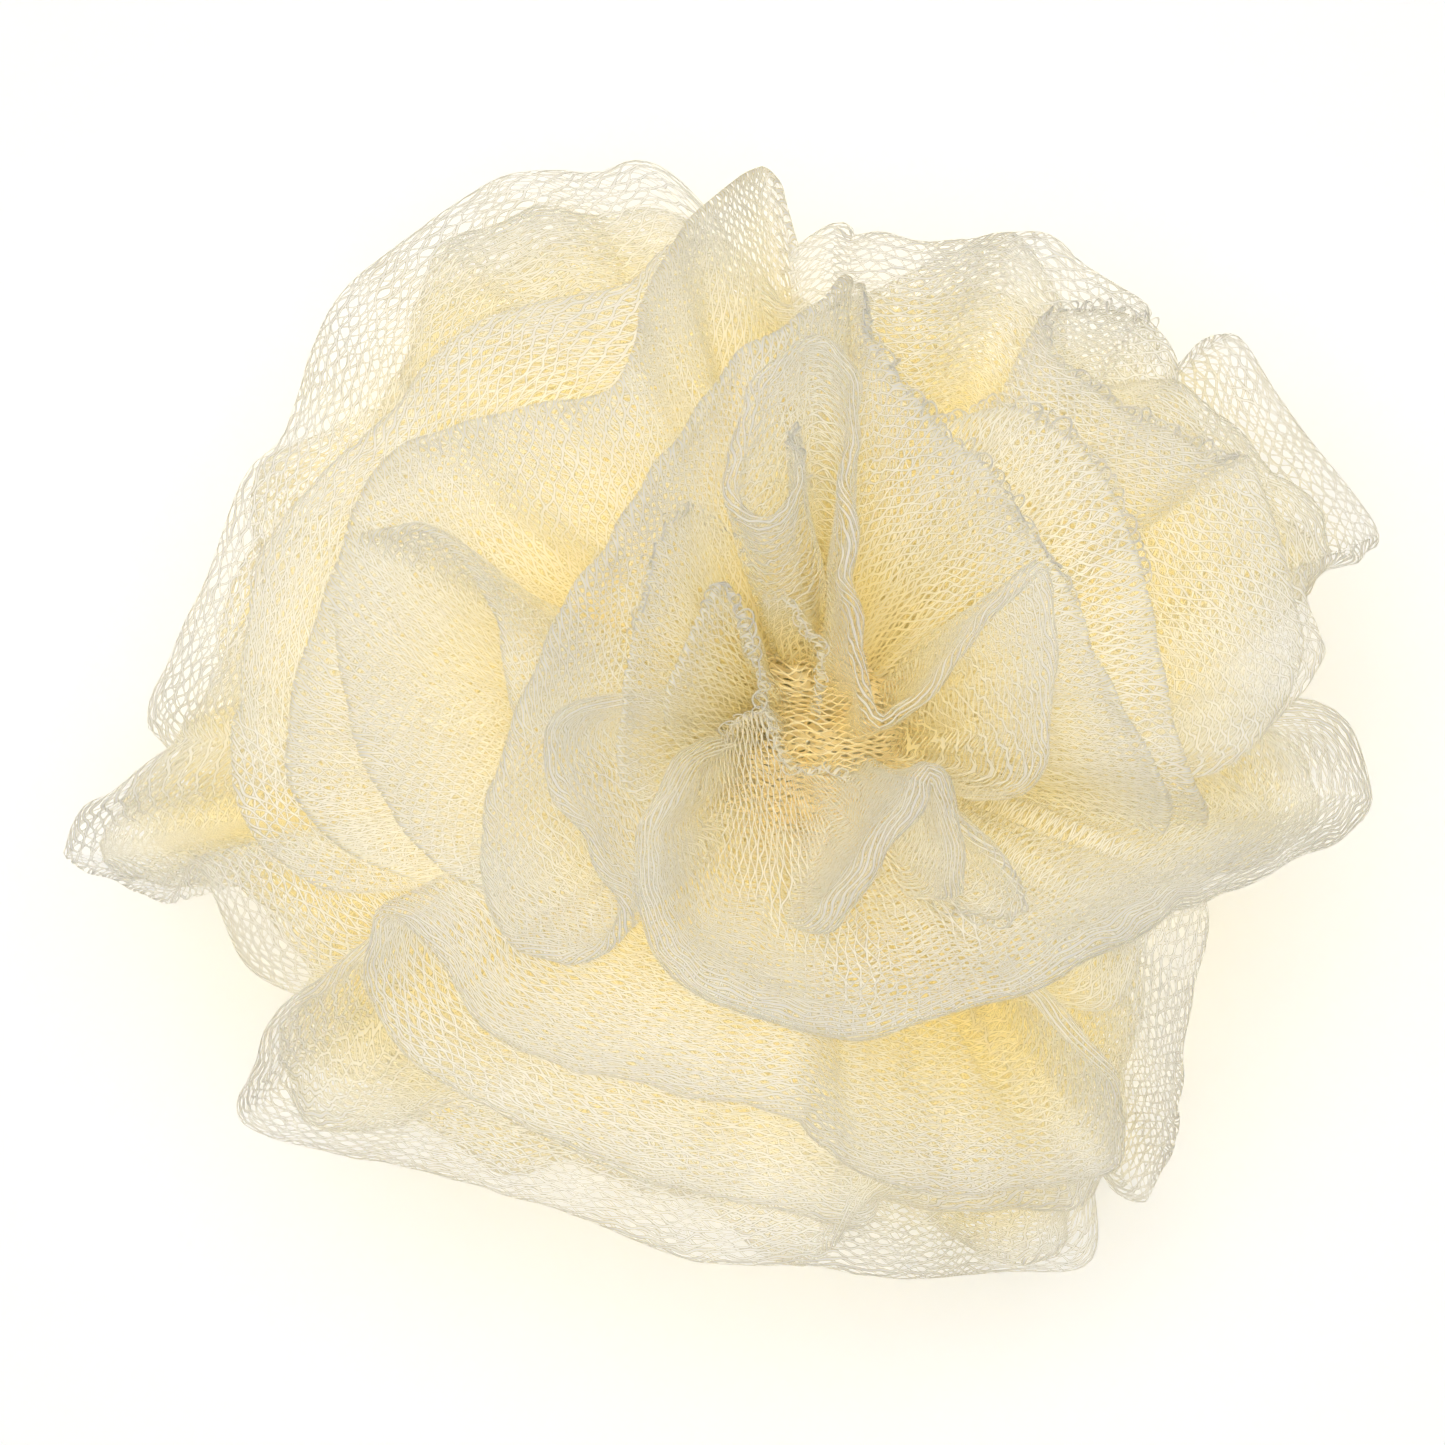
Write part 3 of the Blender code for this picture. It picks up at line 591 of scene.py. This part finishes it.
cream_net = net_material(
    "cream_net", pale=(0.96, 0.955, 0.94), yellow=(1.0, 0.90, 0.56), share_through=0.42
)
outer_folds = {
    name: fold(*upper_rim(path), UPPER_ROOT, OUTER_HABITS[name], OUTER_DIP)
    for name, path in OUTER_RIMS.items()
}
outer_piece = net_piece("net_outer_folds", list(outer_folds.values()))
declare_net(outer_piece, cream_net)


# The inner folds: the same tube of net, drawn up round the middle of the rosette. The photograph
# looks down on to them, and they turn back on themselves and stand highest. They share one root.
INNER_DIP = 0.26

INNER_RIMS = {
    "long_ridge": [
        (12.8, 47.7, -2), (12.4, 43.2, 1), (6.8, 38.7, 2), (1.3, 35.0, 2), (-3.2, 29.2, 2),
        (-7.2, 24.2, 2), (-11.2, 18.2, 2), (-15.2, 12.2, 2), (-18.8, 5.2, 2), (-21.4, -2.0, 1),
        (-23.0, -8.2, 1), (-23.2, -15.0, 1), (-21.2, -20.5, 1), (-15.8, -22.6, 2), (-11.0, -21.4, 2),
        (-9.9, -17.5, 3), (-12.4, -12.8, 3), (-15.4, -8.2, 3), (-17.6, -3.6, 3), (-16.6, 0.8, 3),
        (-13.6, 3.0, 2), (-10.6, 3.4, 0),
    ],
    "top_loop": [
        (7.8, 31.8, -6), (7.6, 29.6, -3), (8.2, 26.2, 0), (8.0, 22.6, 0), (6.2, 19.8, 1),
        (3.4, 19.3, 1), (1.2, 21.2, 1), (0.8, 25.2, 1), (2.5, 29.7, 1), (5.0, 34.2, 1),
        (8.0, 36.9, 1), (10.6, 37.4, 1), (12.8, 35.2, 1), (13.6, 31.7, 1), (13.0, 24.2, 1),
        (12.8, 16.2, 0), (13.5, 8.2, -4), (14.6, 2.2, -8), (16.3, -0.2, -9), (20.3, 2.2, -7),
        (24.3, 7.7, -3), (27.8, 13.2, 0), (30.8, 16.0, 1), (32.1, 12.2, 0), (32.4, 6.2, -1),
        (32.0, -0.8, -2), (31.9, -6.4, -3), (29.5, -9.4, -5),
    ],
    "front_lip": [
        (-2.6, -1.4, -9), (-4.6, -4.0, -6), (-6.6, -8.6, -3), (-7.7, -14.8, 0),
        (-6.0, -21.6, 1), (-2.2, -25.8, 2), (3.8, -29.3, 3), (11.8, -31.3, 3), (19.8, -30.0, 3),
        (27.8, -27.6, 3), (35.8, -23.8, 3), (42.8, -19.8, 2), (50.8, -15.8, 2), (58.8, -12.3, 2),
        (64.5, -9.2, 2), (65.0, -5.8, 1), (62.3, 0.2, 0), (57.8, 2.0, -3),
    ],
    "fringe": [
        (-3.8, -3.8, -22), (0.8, -0.3, -17), (4.3, 1.2, -14), (5.8, -2.3, -15), (7.8, -4.8, -16),
        (12.3, -5.6, -15), (15.8, -7.3, -17),
    ],
    "white_peak": [
        (6.8, -25.3, -3), (10.8, -19.3, 0), (15.8, -12.8, 2), (19.3, -8.3, 3), (20.6, -5.8, 3),
        (22.3, -6.8, 2), (23.3, -11.8, 0), (23.6, -17.8, -1), (24.3, -22.0, -2),
    ],
    "peak_flank": [
        (26.6, -12.0, -5), (29.0, -13.8, -4), (30.3, -16.8, -4), (28.8, -20.2, -4), (25.4, -22.8, -4),
    ],
    "centre_left": [
        (-7.2, -3.8, -12), (-5.7, 3.2, -7), (-2.2, 10.7, -4), (0.0, 14.2, -3), (2.0, 9.7, -5),
        (3.8, 3.2, -10), (3.2, 0.5, -15),
    ],
    "centre_strand": [
        (-2.2, 25.2, -6), (-5.7, 19.5, -3), (-8.2, 12.7, -2), (-10.0, 4.7, -3), (-10.2, -3.8, -4),
        (-9.2, -12.0, -7),
    ],
    "centre_back": [
        (3.4, 17.0, -8), (6.0, 13.5, -9), (8.8, 9.0, -12), (9.9, 2.0, -18),
    ],
    "lower_meander": [
        (18.8, -52.3, -2), (7.8, -49.0, 0), (-2.2, -46.0, 0), (-12.2, -42.8, 0), (-22.2, -38.8, 0),
        (-31.2, -34.3, 0), (-35.4, -28.8, 0), (-35.7, -23.3, 1), (-33.7, -19.8, 1), (-29.2, -22.3, 2),
        (-23.7, -29.8, 2), (-16.2, -33.0, 2), (-8.2, -34.8, 2), (-0.2, -37.3, 2), (6.8, -39.8, 2),
        (11.8, -43.8, 1), (17.8, -46.6, 1), (27.8, -47.0, 0), (37.8, -45.8, 0), (40.3, -42.8, 0),
        (39.0, -36.0, -1), (33.8, -31.8, -3),
    ],
    "under_lip": [
        (57.0, -3.0, -9), (56.0, -9.5, -9), (50.0, -14.0, -8), (44.0, -19.5, -8), (40.5, -27.0, -8),
        (39.0, -35.0, -7),
    ],
}
INNER_HABITS = {
    "long_ridge": Habit(5.0, 0.75, (80, 5), 0.55, 0.9),
    "top_loop": Habit(6.0, 0.8, (8, 12), 0.6, 0.8),
    "front_lip": Habit(12.0, 1.6, (4, 3), 0.4, 0.4),
    "fringe": Habit(13.0, 0.4, (70, 70), 0.9, 0.4),
    "white_peak": Habit(14.0, 1.3, (5, 5), 0.15, 0.1),
    "peak_flank": Habit(15.0, 0.6, (20, 20), 0.4, 0.5),
    "centre_left": Habit(16.0, 0.4, (75, 75), 0.8, 0.9),
    "centre_strand": Habit(17.0, 0.4, (80, 80), 0.8, 0.9),
    "centre_back": Habit(18.0, 0.4, (60, 60), 0.9, 1.0),
    "lower_meander": Habit(19.0, 0.8, (8, 12), 0.5, 1.0),
    "under_lip": Habit(20.0, 0.6, (15, 15), 0.6, 1.0),
}

inner_folds = {
    name: fold(*upper_rim(path), UPPER_ROOT, INNER_HABITS[name], INNER_DIP)
    for name, path in INNER_RIMS.items()
}

# The bowl of slack net between the front lip and the fringe. It hangs from a stretch of the lip,
# given as shares of it, and sags in gathers that run across to the fringe.
CUP_SHARE = (0.14, 0.62)
CUP_SEED = 70.0
CUP_DROP = 1.0
CUP_COLUMNS = 120
CUP_ROWS = 24
CUP_SAG = 4.5
CUP_SAG_POWER = 0.8
CUP_SAG_SHARE = 1.15
CUP_GATHERS = ((1.1, 4.5, 16.0, 0), (0.7, 1.9, 9.0, 1))
CUP_WANDER = (1.5, 9.0, 9.0, 2)
CUP_OPENS = (0.9, 5.0, 8.0, 3)
CUP_STRETCH = (0.5, 5.0, 5.0, 4)
CUP_OPENING = 0.7
CUP_CROWDING = 1.3
# How strongly painted shade yellows the bowl.
CUP_SHADE_YELLOWING = 0.4
CUP_WIDTH_LOSS = 0.1


def cup(lip, edge, seed):
    """The slack bowl of net between the front lip and the fringe, as a patch."""
    shares = np.linspace(0, 1, CUP_COLUMNS)
    near, far = (
        np.stack([np.interp(shares, np.linspace(0, 1, len(line)), line[:, k]) for k in range(3)], axis=1)
        for line in (lip, edge)
    )
    t = np.linspace(0, 1, CUP_ROWS)[:, None]
    points = near[None] * (1 - t[..., None]) + far[None] * t[..., None]
    middle = np.gradient((near + far) / 2, axis=0)
    a = np.broadcast_to(np.cumsum(np.linalg.norm(middle, axis=1)), points.shape[:2])
    b = t * np.linalg.norm(far - near, axis=1)
    points[..., 2] -= CUP_SAG * np.sin(np.pi * np.minimum(1.0, t * CUP_SAG_SHARE)) ** CUP_SAG_POWER
    for wave in CUP_GATHERS:
        points[..., 2] -= ripple(a, b, seed, wave) * np.sin(np.pi * t)
    along_net = b + ripple(a, b, seed, CUP_STRETCH)
    across_net = CUP_CROWDING * a + ripple(a, b, seed, CUP_WANDER)
    opened = np.clip(CUP_OPENING + ripple(a, b, seed, CUP_OPENS), 0, 1)
    swing = SHUT_SWING + OPEN_SWING * opened
    width = SHUT_WIDTH - CUP_WIDTH_LOSS * opened
    net = np.stack([along_net, across_net], axis=-1)
    return Patch(points, net, swing, width, np.full(a.shape, CUP_SHADE_YELLOWING), False)


lip_line = soften(upper_rim(INNER_RIMS["front_lip"])[0])
fringe_line = soften(upper_rim(INNER_RIMS["fringe"])[0])
first, last = (int(share * len(lip_line)) for share in CUP_SHARE)
bowl = cup(lip_line[first:last] - (0, 0, CUP_DROP), fringe_line, CUP_SEED)
inner_piece = net_piece("net_inner_folds", [*inner_folds.values(), bowl])


# Loose loops: where the knit has slackened at a rim, single stitches stand out as small loops of
# bare plastic thread, each held by its two ends. Each stretch is given as shares of its rim.
LOOP_SPACING = 1.05
LOOP_HEIGHT = 1.9
THREAD_RADIUS = 0.1
LOOP_ROOT_ROWS = RIM_ROWS + 2
LOOPED = {
    "right_ridge": (0.12, 0.62), "right_arch": (0.08, 0.55), "right_second": (0.0, 0.5),
    "peak_flank": (0.0, 1.0), "centre_back": (0.0, 1.0), "fringe": (0.1, 0.9),
    "centre_left": (0.45, 1.0), "centre_strand": (0.0, 0.5), "top_loop": (0.0, 0.1),
}


def loose_paths():
    """The stretches of rim that carry loops, as edges with the outward direction on each point."""
    verts, edges, outward = [], [], []
    for name, (first, last) in LOOPED.items():
        points = {**outer_folds, **inner_folds}[name].points
        stretch = slice(int(first * points.shape[1]), int(last * points.shape[1]))
        line = points[APEX_ROW, stretch]
        edges += [(len(verts) + k, len(verts) + k + 1) for k in range(len(line) - 1)]
        verts += list(line * MM)
        away = line - points[APEX_ROW - LOOP_ROOT_ROWS, stretch]
        outward += list(away / np.linalg.norm(away, axis=1, keepdims=True))
    mesh = bpy.data.meshes.new("loose_loops")
    mesh.from_pydata(verts, edges, [])
    mesh.attributes.new("outward", "FLOAT_VECTOR", "POINT").data.foreach_set("vector", np.ravel(outward))
    return mesh


# A loop is an arch of thread, open at its foot. Its half width and its half height are shares of
# the loops' height, and each loop is drawn in or out and leant over at random.
ARCH_POINTS = 9
ARCH_START = math.radians(-25)
ARCH_SWEEP = math.radians(230)
ARCH_WIDTH = 0.42
ARCH_RISE = 0.6
THREAD_SIDES = 4
LOOP_SIZES = ((0.6, 0.3, 0.7), (1.3, 1.3, 1.2))
LOOP_SIZES_SEED = 4
LOOP_LEANS = ((-0.9, -0.5, -0.3), (0.9, 0.5, 0.3))
LOOP_LEANS_SEED = 9


def loops_tree():
    """Geometry nodes that set a small arch of thread at even steps along each path."""
    tree = bpy.data.node_groups.new("loops", "GeometryNodeTree")
    face = tree.interface
    face.new_socket("Geometry", in_out="INPUT", socket_type="NodeSocketGeometry")
    for name in ("Spacing", "Height", "Thread Radius"):
        face.new_socket(name, in_out="INPUT", socket_type="NodeSocketFloat")
    face.new_socket("Material", in_out="INPUT", socket_type="NodeSocketMaterial")
    face.new_socket("Geometry", in_out="OUTPUT", socket_type="NodeSocketGeometry")
    made, link = tree.nodes.new, tree.links.new
    given = made("NodeGroupInput").outputs

    def share_of_height(share):
        part = made("ShaderNodeMath")
        part.operation = "MULTIPLY"
        part.inputs[1].default_value = share
        link(given["Height"], part.inputs[0])
        return part.outputs[0]

    def random_between(bounds, seed):
        drawn = made("FunctionNodeRandomValue")
        drawn.data_type = "FLOAT_VECTOR"
        drawn.inputs["Min"].default_value = bounds[0]
        drawn.inputs["Max"].default_value = bounds[1]
        drawn.inputs["Seed"].default_value = seed
        return drawn.outputs["Value"]

    path = made("GeometryNodeMeshToCurve")
    link(given["Geometry"], path.inputs["Mesh"])
    even = made("GeometryNodeResampleCurve")
    even.mode = "LENGTH"
    link(path.outputs[0], even.inputs["Curve"])
    link(given["Spacing"], even.inputs["Length"])

    arch = made("GeometryNodeCurveArc")
    arch.inputs["Resolution"].default_value = ARCH_POINTS
    arch.inputs["Radius"].default_value = 1.0
    arch.inputs["Start Angle"].default_value = ARCH_START
    arch.inputs["Sweep Angle"].default_value = ARCH_SWEEP
    size = made("ShaderNodeCombineXYZ")
    half_width = share_of_height(ARCH_WIDTH)
    link(half_width, size.inputs[0])
    link(share_of_height(ARCH_RISE), size.inputs[1])
    link(half_width, size.inputs[2])
    shape = made("GeometryNodeTransform")
    link(arch.outputs["Curve"], shape.inputs["Geometry"])
    link(size.outputs[0], shape.inputs["Scale"])
    ring = made("GeometryNodeCurvePrimitiveCircle")
    ring.inputs["Resolution"].default_value = THREAD_SIDES
    link(given["Thread Radius"], ring.inputs["Radius"])
    thread = made("GeometryNodeCurveToMesh")
    link(shape.outputs[0], thread.inputs["Curve"])
    link(ring.outputs["Curve"], thread.inputs["Profile Curve"])

    outward = made("GeometryNodeInputNamedAttribute")
    outward.data_type = "FLOAT_VECTOR"
    outward.inputs["Name"].default_value = "outward"
    stand = made("FunctionNodeAlignRotationToVector")
    stand.axis = "Y"
    link(outward.outputs["Attribute"], stand.inputs["Vector"])
    follow = made("FunctionNodeAlignRotationToVector")
    follow.axis = "X"
    follow.pivot_axis = "Y"
    link(stand.outputs[0], follow.inputs["Rotation"])
    link(made("GeometryNodeInputTangent").outputs[0], follow.inputs["Vector"])
    place = made("GeometryNodeInstanceOnPoints")
    link(even.outputs["Curve"], place.inputs["Points"])
    link(thread.outputs["Mesh"], place.inputs["Instance"])
    link(follow.outputs[0], place.inputs["Rotation"])
    link(random_between(LOOP_SIZES, LOOP_SIZES_SEED), place.inputs["Scale"])
    lean = made("GeometryNodeRotateInstances")
    link(place.outputs["Instances"], lean.inputs["Instances"])
    link(random_between(LOOP_LEANS, LOOP_LEANS_SEED), lean.inputs["Rotation"])

    real = made("GeometryNodeRealizeInstances")
    link(lean.outputs["Instances"], real.inputs["Geometry"])
    coat = made("GeometryNodeSetMaterial")
    link(real.outputs[0], coat.inputs["Geometry"])
    link(given["Material"], coat.inputs["Material"])
    link(coat.outputs[0], made("NodeGroupOutput").inputs[0])
    return tree


# Thread is a touch darker in patches about a millimetre long.
THREAD_MOTTLE_SCALE = 900.0
THREAD_MOTTLE = 0.93


def thread_material(name, color, share_through):
    """Bare plastic thread, with a faint change of tone along it."""
    material = bpy.data.materials.new(name)
    material.use_nodes = True
    tree = material.node_tree
    tree.nodes.clear()
    place = tree.nodes.new("ShaderNodeTexCoord").outputs["Object"]
    mottle = tree.nodes.new("ShaderNodeTexNoise")
    mottle.inputs["Scale"].default_value = THREAD_MOTTLE_SCALE
    tree.links.new(place, mottle.inputs["Vector"])
    tone = tree.nodes.new("ShaderNodeMix")
    tone.data_type = "RGBA"
    tone.inputs[6].default_value = [THREAD_MOTTLE * part for part in color] + [1]
    tone.inputs[7].default_value = [*color, 1]
    tree.links.new(mottle.outputs["Fac"], tone.inputs[0])
    plastic = tree.nodes.new("ShaderNodeBsdfDiffuse")
    through = tree.nodes.new("ShaderNodeBsdfTranslucent")
    thread = tree.nodes.new("ShaderNodeMixShader")
    thread.inputs[0].default_value = share_through
    tree.links.new(tone.outputs[2], plastic.inputs["Color"])
    tree.links.new(tone.outputs[2], through.inputs["Color"])
    tree.links.new(plastic.outputs[0], thread.inputs[1])
    tree.links.new(through.outputs[0], thread.inputs[2])
    tree.links.new(thread.outputs[0], tree.nodes.new("ShaderNodeOutputMaterial").inputs[0])
    return material


paths = bpy.data.objects.new("loop_paths", loose_paths())
bpy.context.collection.objects.link(paths)
growing = paths.modifiers.new("loops", "NODES")
growing.node_group = loops_tree()
LOOP_VALUES = {
    "Spacing": LOOP_SPACING * MM,
    "Height": LOOP_HEIGHT * MM,
    "Thread Radius": THREAD_RADIUS * MM,
    "Material": thread_material("cream_thread", color=(0.98, 0.96, 0.90), share_through=0.4),
}
for socket in growing.node_group.interface.items_tree:
    if socket.in_out == "INPUT" and socket.name in LOOP_VALUES:
        growing[socket.identifier] = LOOP_VALUES[socket.name]
grown = paths.evaluated_get(bpy.context.evaluated_depsgraph_get())
loops = bpy.data.objects.new("loose_loops", bpy.data.meshes.new_from_object(grown))
bpy.data.objects.remove(paths)
bpy.context.collection.objects.link(loops)
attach(loops, "root")
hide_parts("netting")
declare_net(inner_piece, cream_net)


# The lower folds: the half of the tube below the tie, spread in wavy rings over what the puff lies
# on, with one ring above the tie as a shoulder. Rings share the outline of the puff from above.
LOWER_ROOT = NECK - (0, 0, BUNCH_RISE)
LOWER_STEP = 2.2
RING_SAMPLE = 3.0
RING_SEED = 40.0
RING_BULB = 1.0
RING_GRAIN = (15, 15)
RING_OPENING = 0.5
# How strongly painted shade yellows the rings.
RING_SHADE_YELLOWING = 1.0
RING_SKEW = 0.8
SIDE_WAVE = 0.45
RING_RISES = ((8.0, 11.0, 11.0, 80), (3.2, 4.5, 4.5, 90))
RING_REACHES = (0.07, 8.0, 8.0, 95)

OUTLINE = [
    (-65.0, -12.0), (-55.0, 9.0), (-48.5, 23.0), (-42.0, 33.0), (-35.5, 45.0), (-23.0, 53.0),
    (-6.0, 55.0), (13.0, 49.0), (31.0, 49.0), (43.0, 41.0), (54.0, 35.0), (64.5, 19.0),
    (61.0, 6.0), (64.5, -9.0), (52.0, -19.0), (46.0, -34.0), (38.0, -55.0), (18.5, -55.5),
    (-2.5, -52.0), (-22.5, -47.5), (-42.0, -43.0), (-48.5, -37.0), (-48.0, -26.0), (-55.0, -17.5),
]

# A ring: how much of the outline it reaches, its height, how many waves it has, how far they swing
# out and how far they rise, where they start, and whether it runs in to the upper root.
Ring = namedtuple("Ring", "share z waves swing rise phase upper")
LOWER_RINGS = {
    "shoulder": Ring(0.90, 43.0, 9, 0.045, 3.0, 1.9, True),
    "belt": Ring(0.86, 31.0, 8, 0.06, 3.0, 3.7, False),
    "high": Ring(0.82, 20.0, 8, 0.07, 2.5, 0.4, False),
    "low": Ring(0.74, 9.5, 7, 0.08, 1.5, 2.1, False),
    "floor": Ring(0.60, 0.5, 7, 0.09, 0.0, 1.1, False),
    "inner": Ring(0.33, 0.5, 5, 0.07, 0.0, 3.0, False),
}


def ring_fold(number, ring):
    """One ring of folds: the outline drawn in, with uneven waves that also rise and fall."""
    even, _ = spline([(x, y, 0.0) for x, y in OUTLINE], RING_SAMPLE, closed=True)
    turns = np.linspace(0, math.tau, len(even), endpoint=False)
    wave = np.sin(ring.waves * turns + ring.phase + RING_SKEW * np.sin(2 * turns))
    wave += SIDE_WAVE * np.sin((ring.waves + 5) * turns + 2.0 * ring.phase)
    outline = even * (ring.share + ring.swing * wave)[:, None]
    outline[:, 2] = ring.z + ring.rise * np.sin((ring.waves - 3) * turns + 3.0 * ring.phase)
    x, y = outline[:, 0], outline[:, 1]
    for rise in RING_RISES:
        outline[:, 2] += ripple(x, y, float(number), rise)
    outline[:, :2] *= 1.0 + ripple(x, y, float(number), RING_REACHES)[:, None]
    outline[:, 2] = np.maximum(outline[:, 2], RING_BULB)
    habit = Habit(RING_SEED + number, RING_BULB, RING_GRAIN, RING_OPENING, RING_SHADE_YELLOWING)
    rim, arc = spline(outline + CENTRE_SHIFT, LOWER_STEP, closed=True)
    return fold(rim, arc, UPPER_ROOT if ring.upper else LOWER_ROOT, habit, closed=True)


# Inside the tie the net is drawn into a spindle 9 mm across, in fine even pleats.
NECK_RADIUS = 4.3
NECK_PLEATS = 24
NECK_PLEAT = 0.07
NECK_COLUMNS = 145
NECK_ROWS = 13
NECK_ENDS = (0.04, 0.96)
NECK_NET = 3
NECK_SWING = 0.3
NECK_WIDTH = 0.4


def gathered_neck():
    """The net drawn together inside the tie, as a pleated spindle between the two roots."""
    turns, steps = np.meshgrid(np.linspace(0, math.tau, NECK_COLUMNS), np.linspace(0, 1, NECK_ROWS))
    pleats = 1.0 + NECK_PLEAT * np.sin(NECK_PLEATS * turns)
    radius = NECK_RADIUS * np.sin(np.pi * np.clip(steps, *NECK_ENDS)) ** 0.5 * pleats
    z = NECK[2] + BUNCH_RISE * (2 * steps - 1)
    points = np.stack([NECK[0] + radius * np.cos(turns), NECK[1] + radius * np.sin(turns), z], axis=-1)
    net = np.stack([z, NECK_RADIUS * turns * NECK_NET], axis=-1)
    # Each point of the neck takes the full painted shade.
    evenly = (np.full(z.shape, value) for value in (NECK_SWING, NECK_WIDTH, 1.0))
    return Patch(points, net, *evenly, False)


lower_folds = [ring_fold(number, ring) for number, ring in enumerate(LOWER_RINGS.values())]
lower_piece = net_piece("net_lower_folds", lower_folds + [gathered_neck()])
declare_net(lower_piece, cream_net)


# The heart: the net over the top of the neck, where the roots are packed too tightly to lie as
# folds. It is two crumpled layers, the lower one closer, and carries the yellowest painted shade of the
# puff.
HEART_RADIUS = 12.0
HEART_COLUMNS = 65
HEART_ROWS = 22
HEART_EYE = 0.02
HEART_SAG = 5.0
HEART_BUMPS = ((6.0, 4.2, 4.2, 0), (2.4, 1.8, 1.8, 1))
HEART_WANDER = (1.6, 3.5, 3.5, 2)
HEART_STRETCH = 1.4
HEART_SWING = 0.42


def heart(height, width, seed):
    """One crumpled layer over the top of the neck, as a patch."""
    turns, rings = np.meshgrid(
        np.linspace(0, math.tau, HEART_COLUMNS), np.linspace(HEART_EYE, 1, HEART_ROWS)
    )
    x = HEART_RADIUS * rings * np.cos(turns)
    y = HEART_RADIUS * rings * np.sin(turns)
    x[:, -1] = x[:, 0]
    y[:, -1] = y[:, 0]
    bumps = sum(ripple(x, y, seed, wave) for wave in HEART_BUMPS)
    points = np.stack([x + NECK[0], y + NECK[1], height + bumps - HEART_SAG * rings**2], axis=-1)
    wander = ripple(x, y, seed, HEART_WANDER)
    net = np.stack([HEART_STRETCH * x + wander, HEART_STRETCH * y - wander], axis=-1)
    # Each point takes the full painted shade.
    evenly = (np.full(x.shape, value) for value in (HEART_SWING, width, 1.0))
    return Patch(points, net, *evenly, False)


# The heart's net is the same plastic, painted a deeper yellow as painted shade in the pit.
heart_shaded_net = net_material(
    "heart_shaded_net", pale=(1.0, 0.92, 0.68), yellow=(1.0, 0.83, 0.46), share_through=0.08
)
heart_layers = [heart(height=56.5, width=0.2, seed=5.0), heart(height=53.0, width=0.6, seed=15.0)]
heart_piece = net_piece("net_heart", heart_layers)
declare_net(heart_piece, heart_shaded_net)


# The tie: a cord of the same plastic, drawn round the middle of the tube and knotted, out of sight
# between the upper and the lower folds. Its solid is kept, in a bare thread's finish.
tie_paint = thread_material("tie_cord", color=(0.93, 0.90, 0.80), share_through=0.15)
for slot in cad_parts["binding_tie"].material_slots:
    slot.material = tie_paint
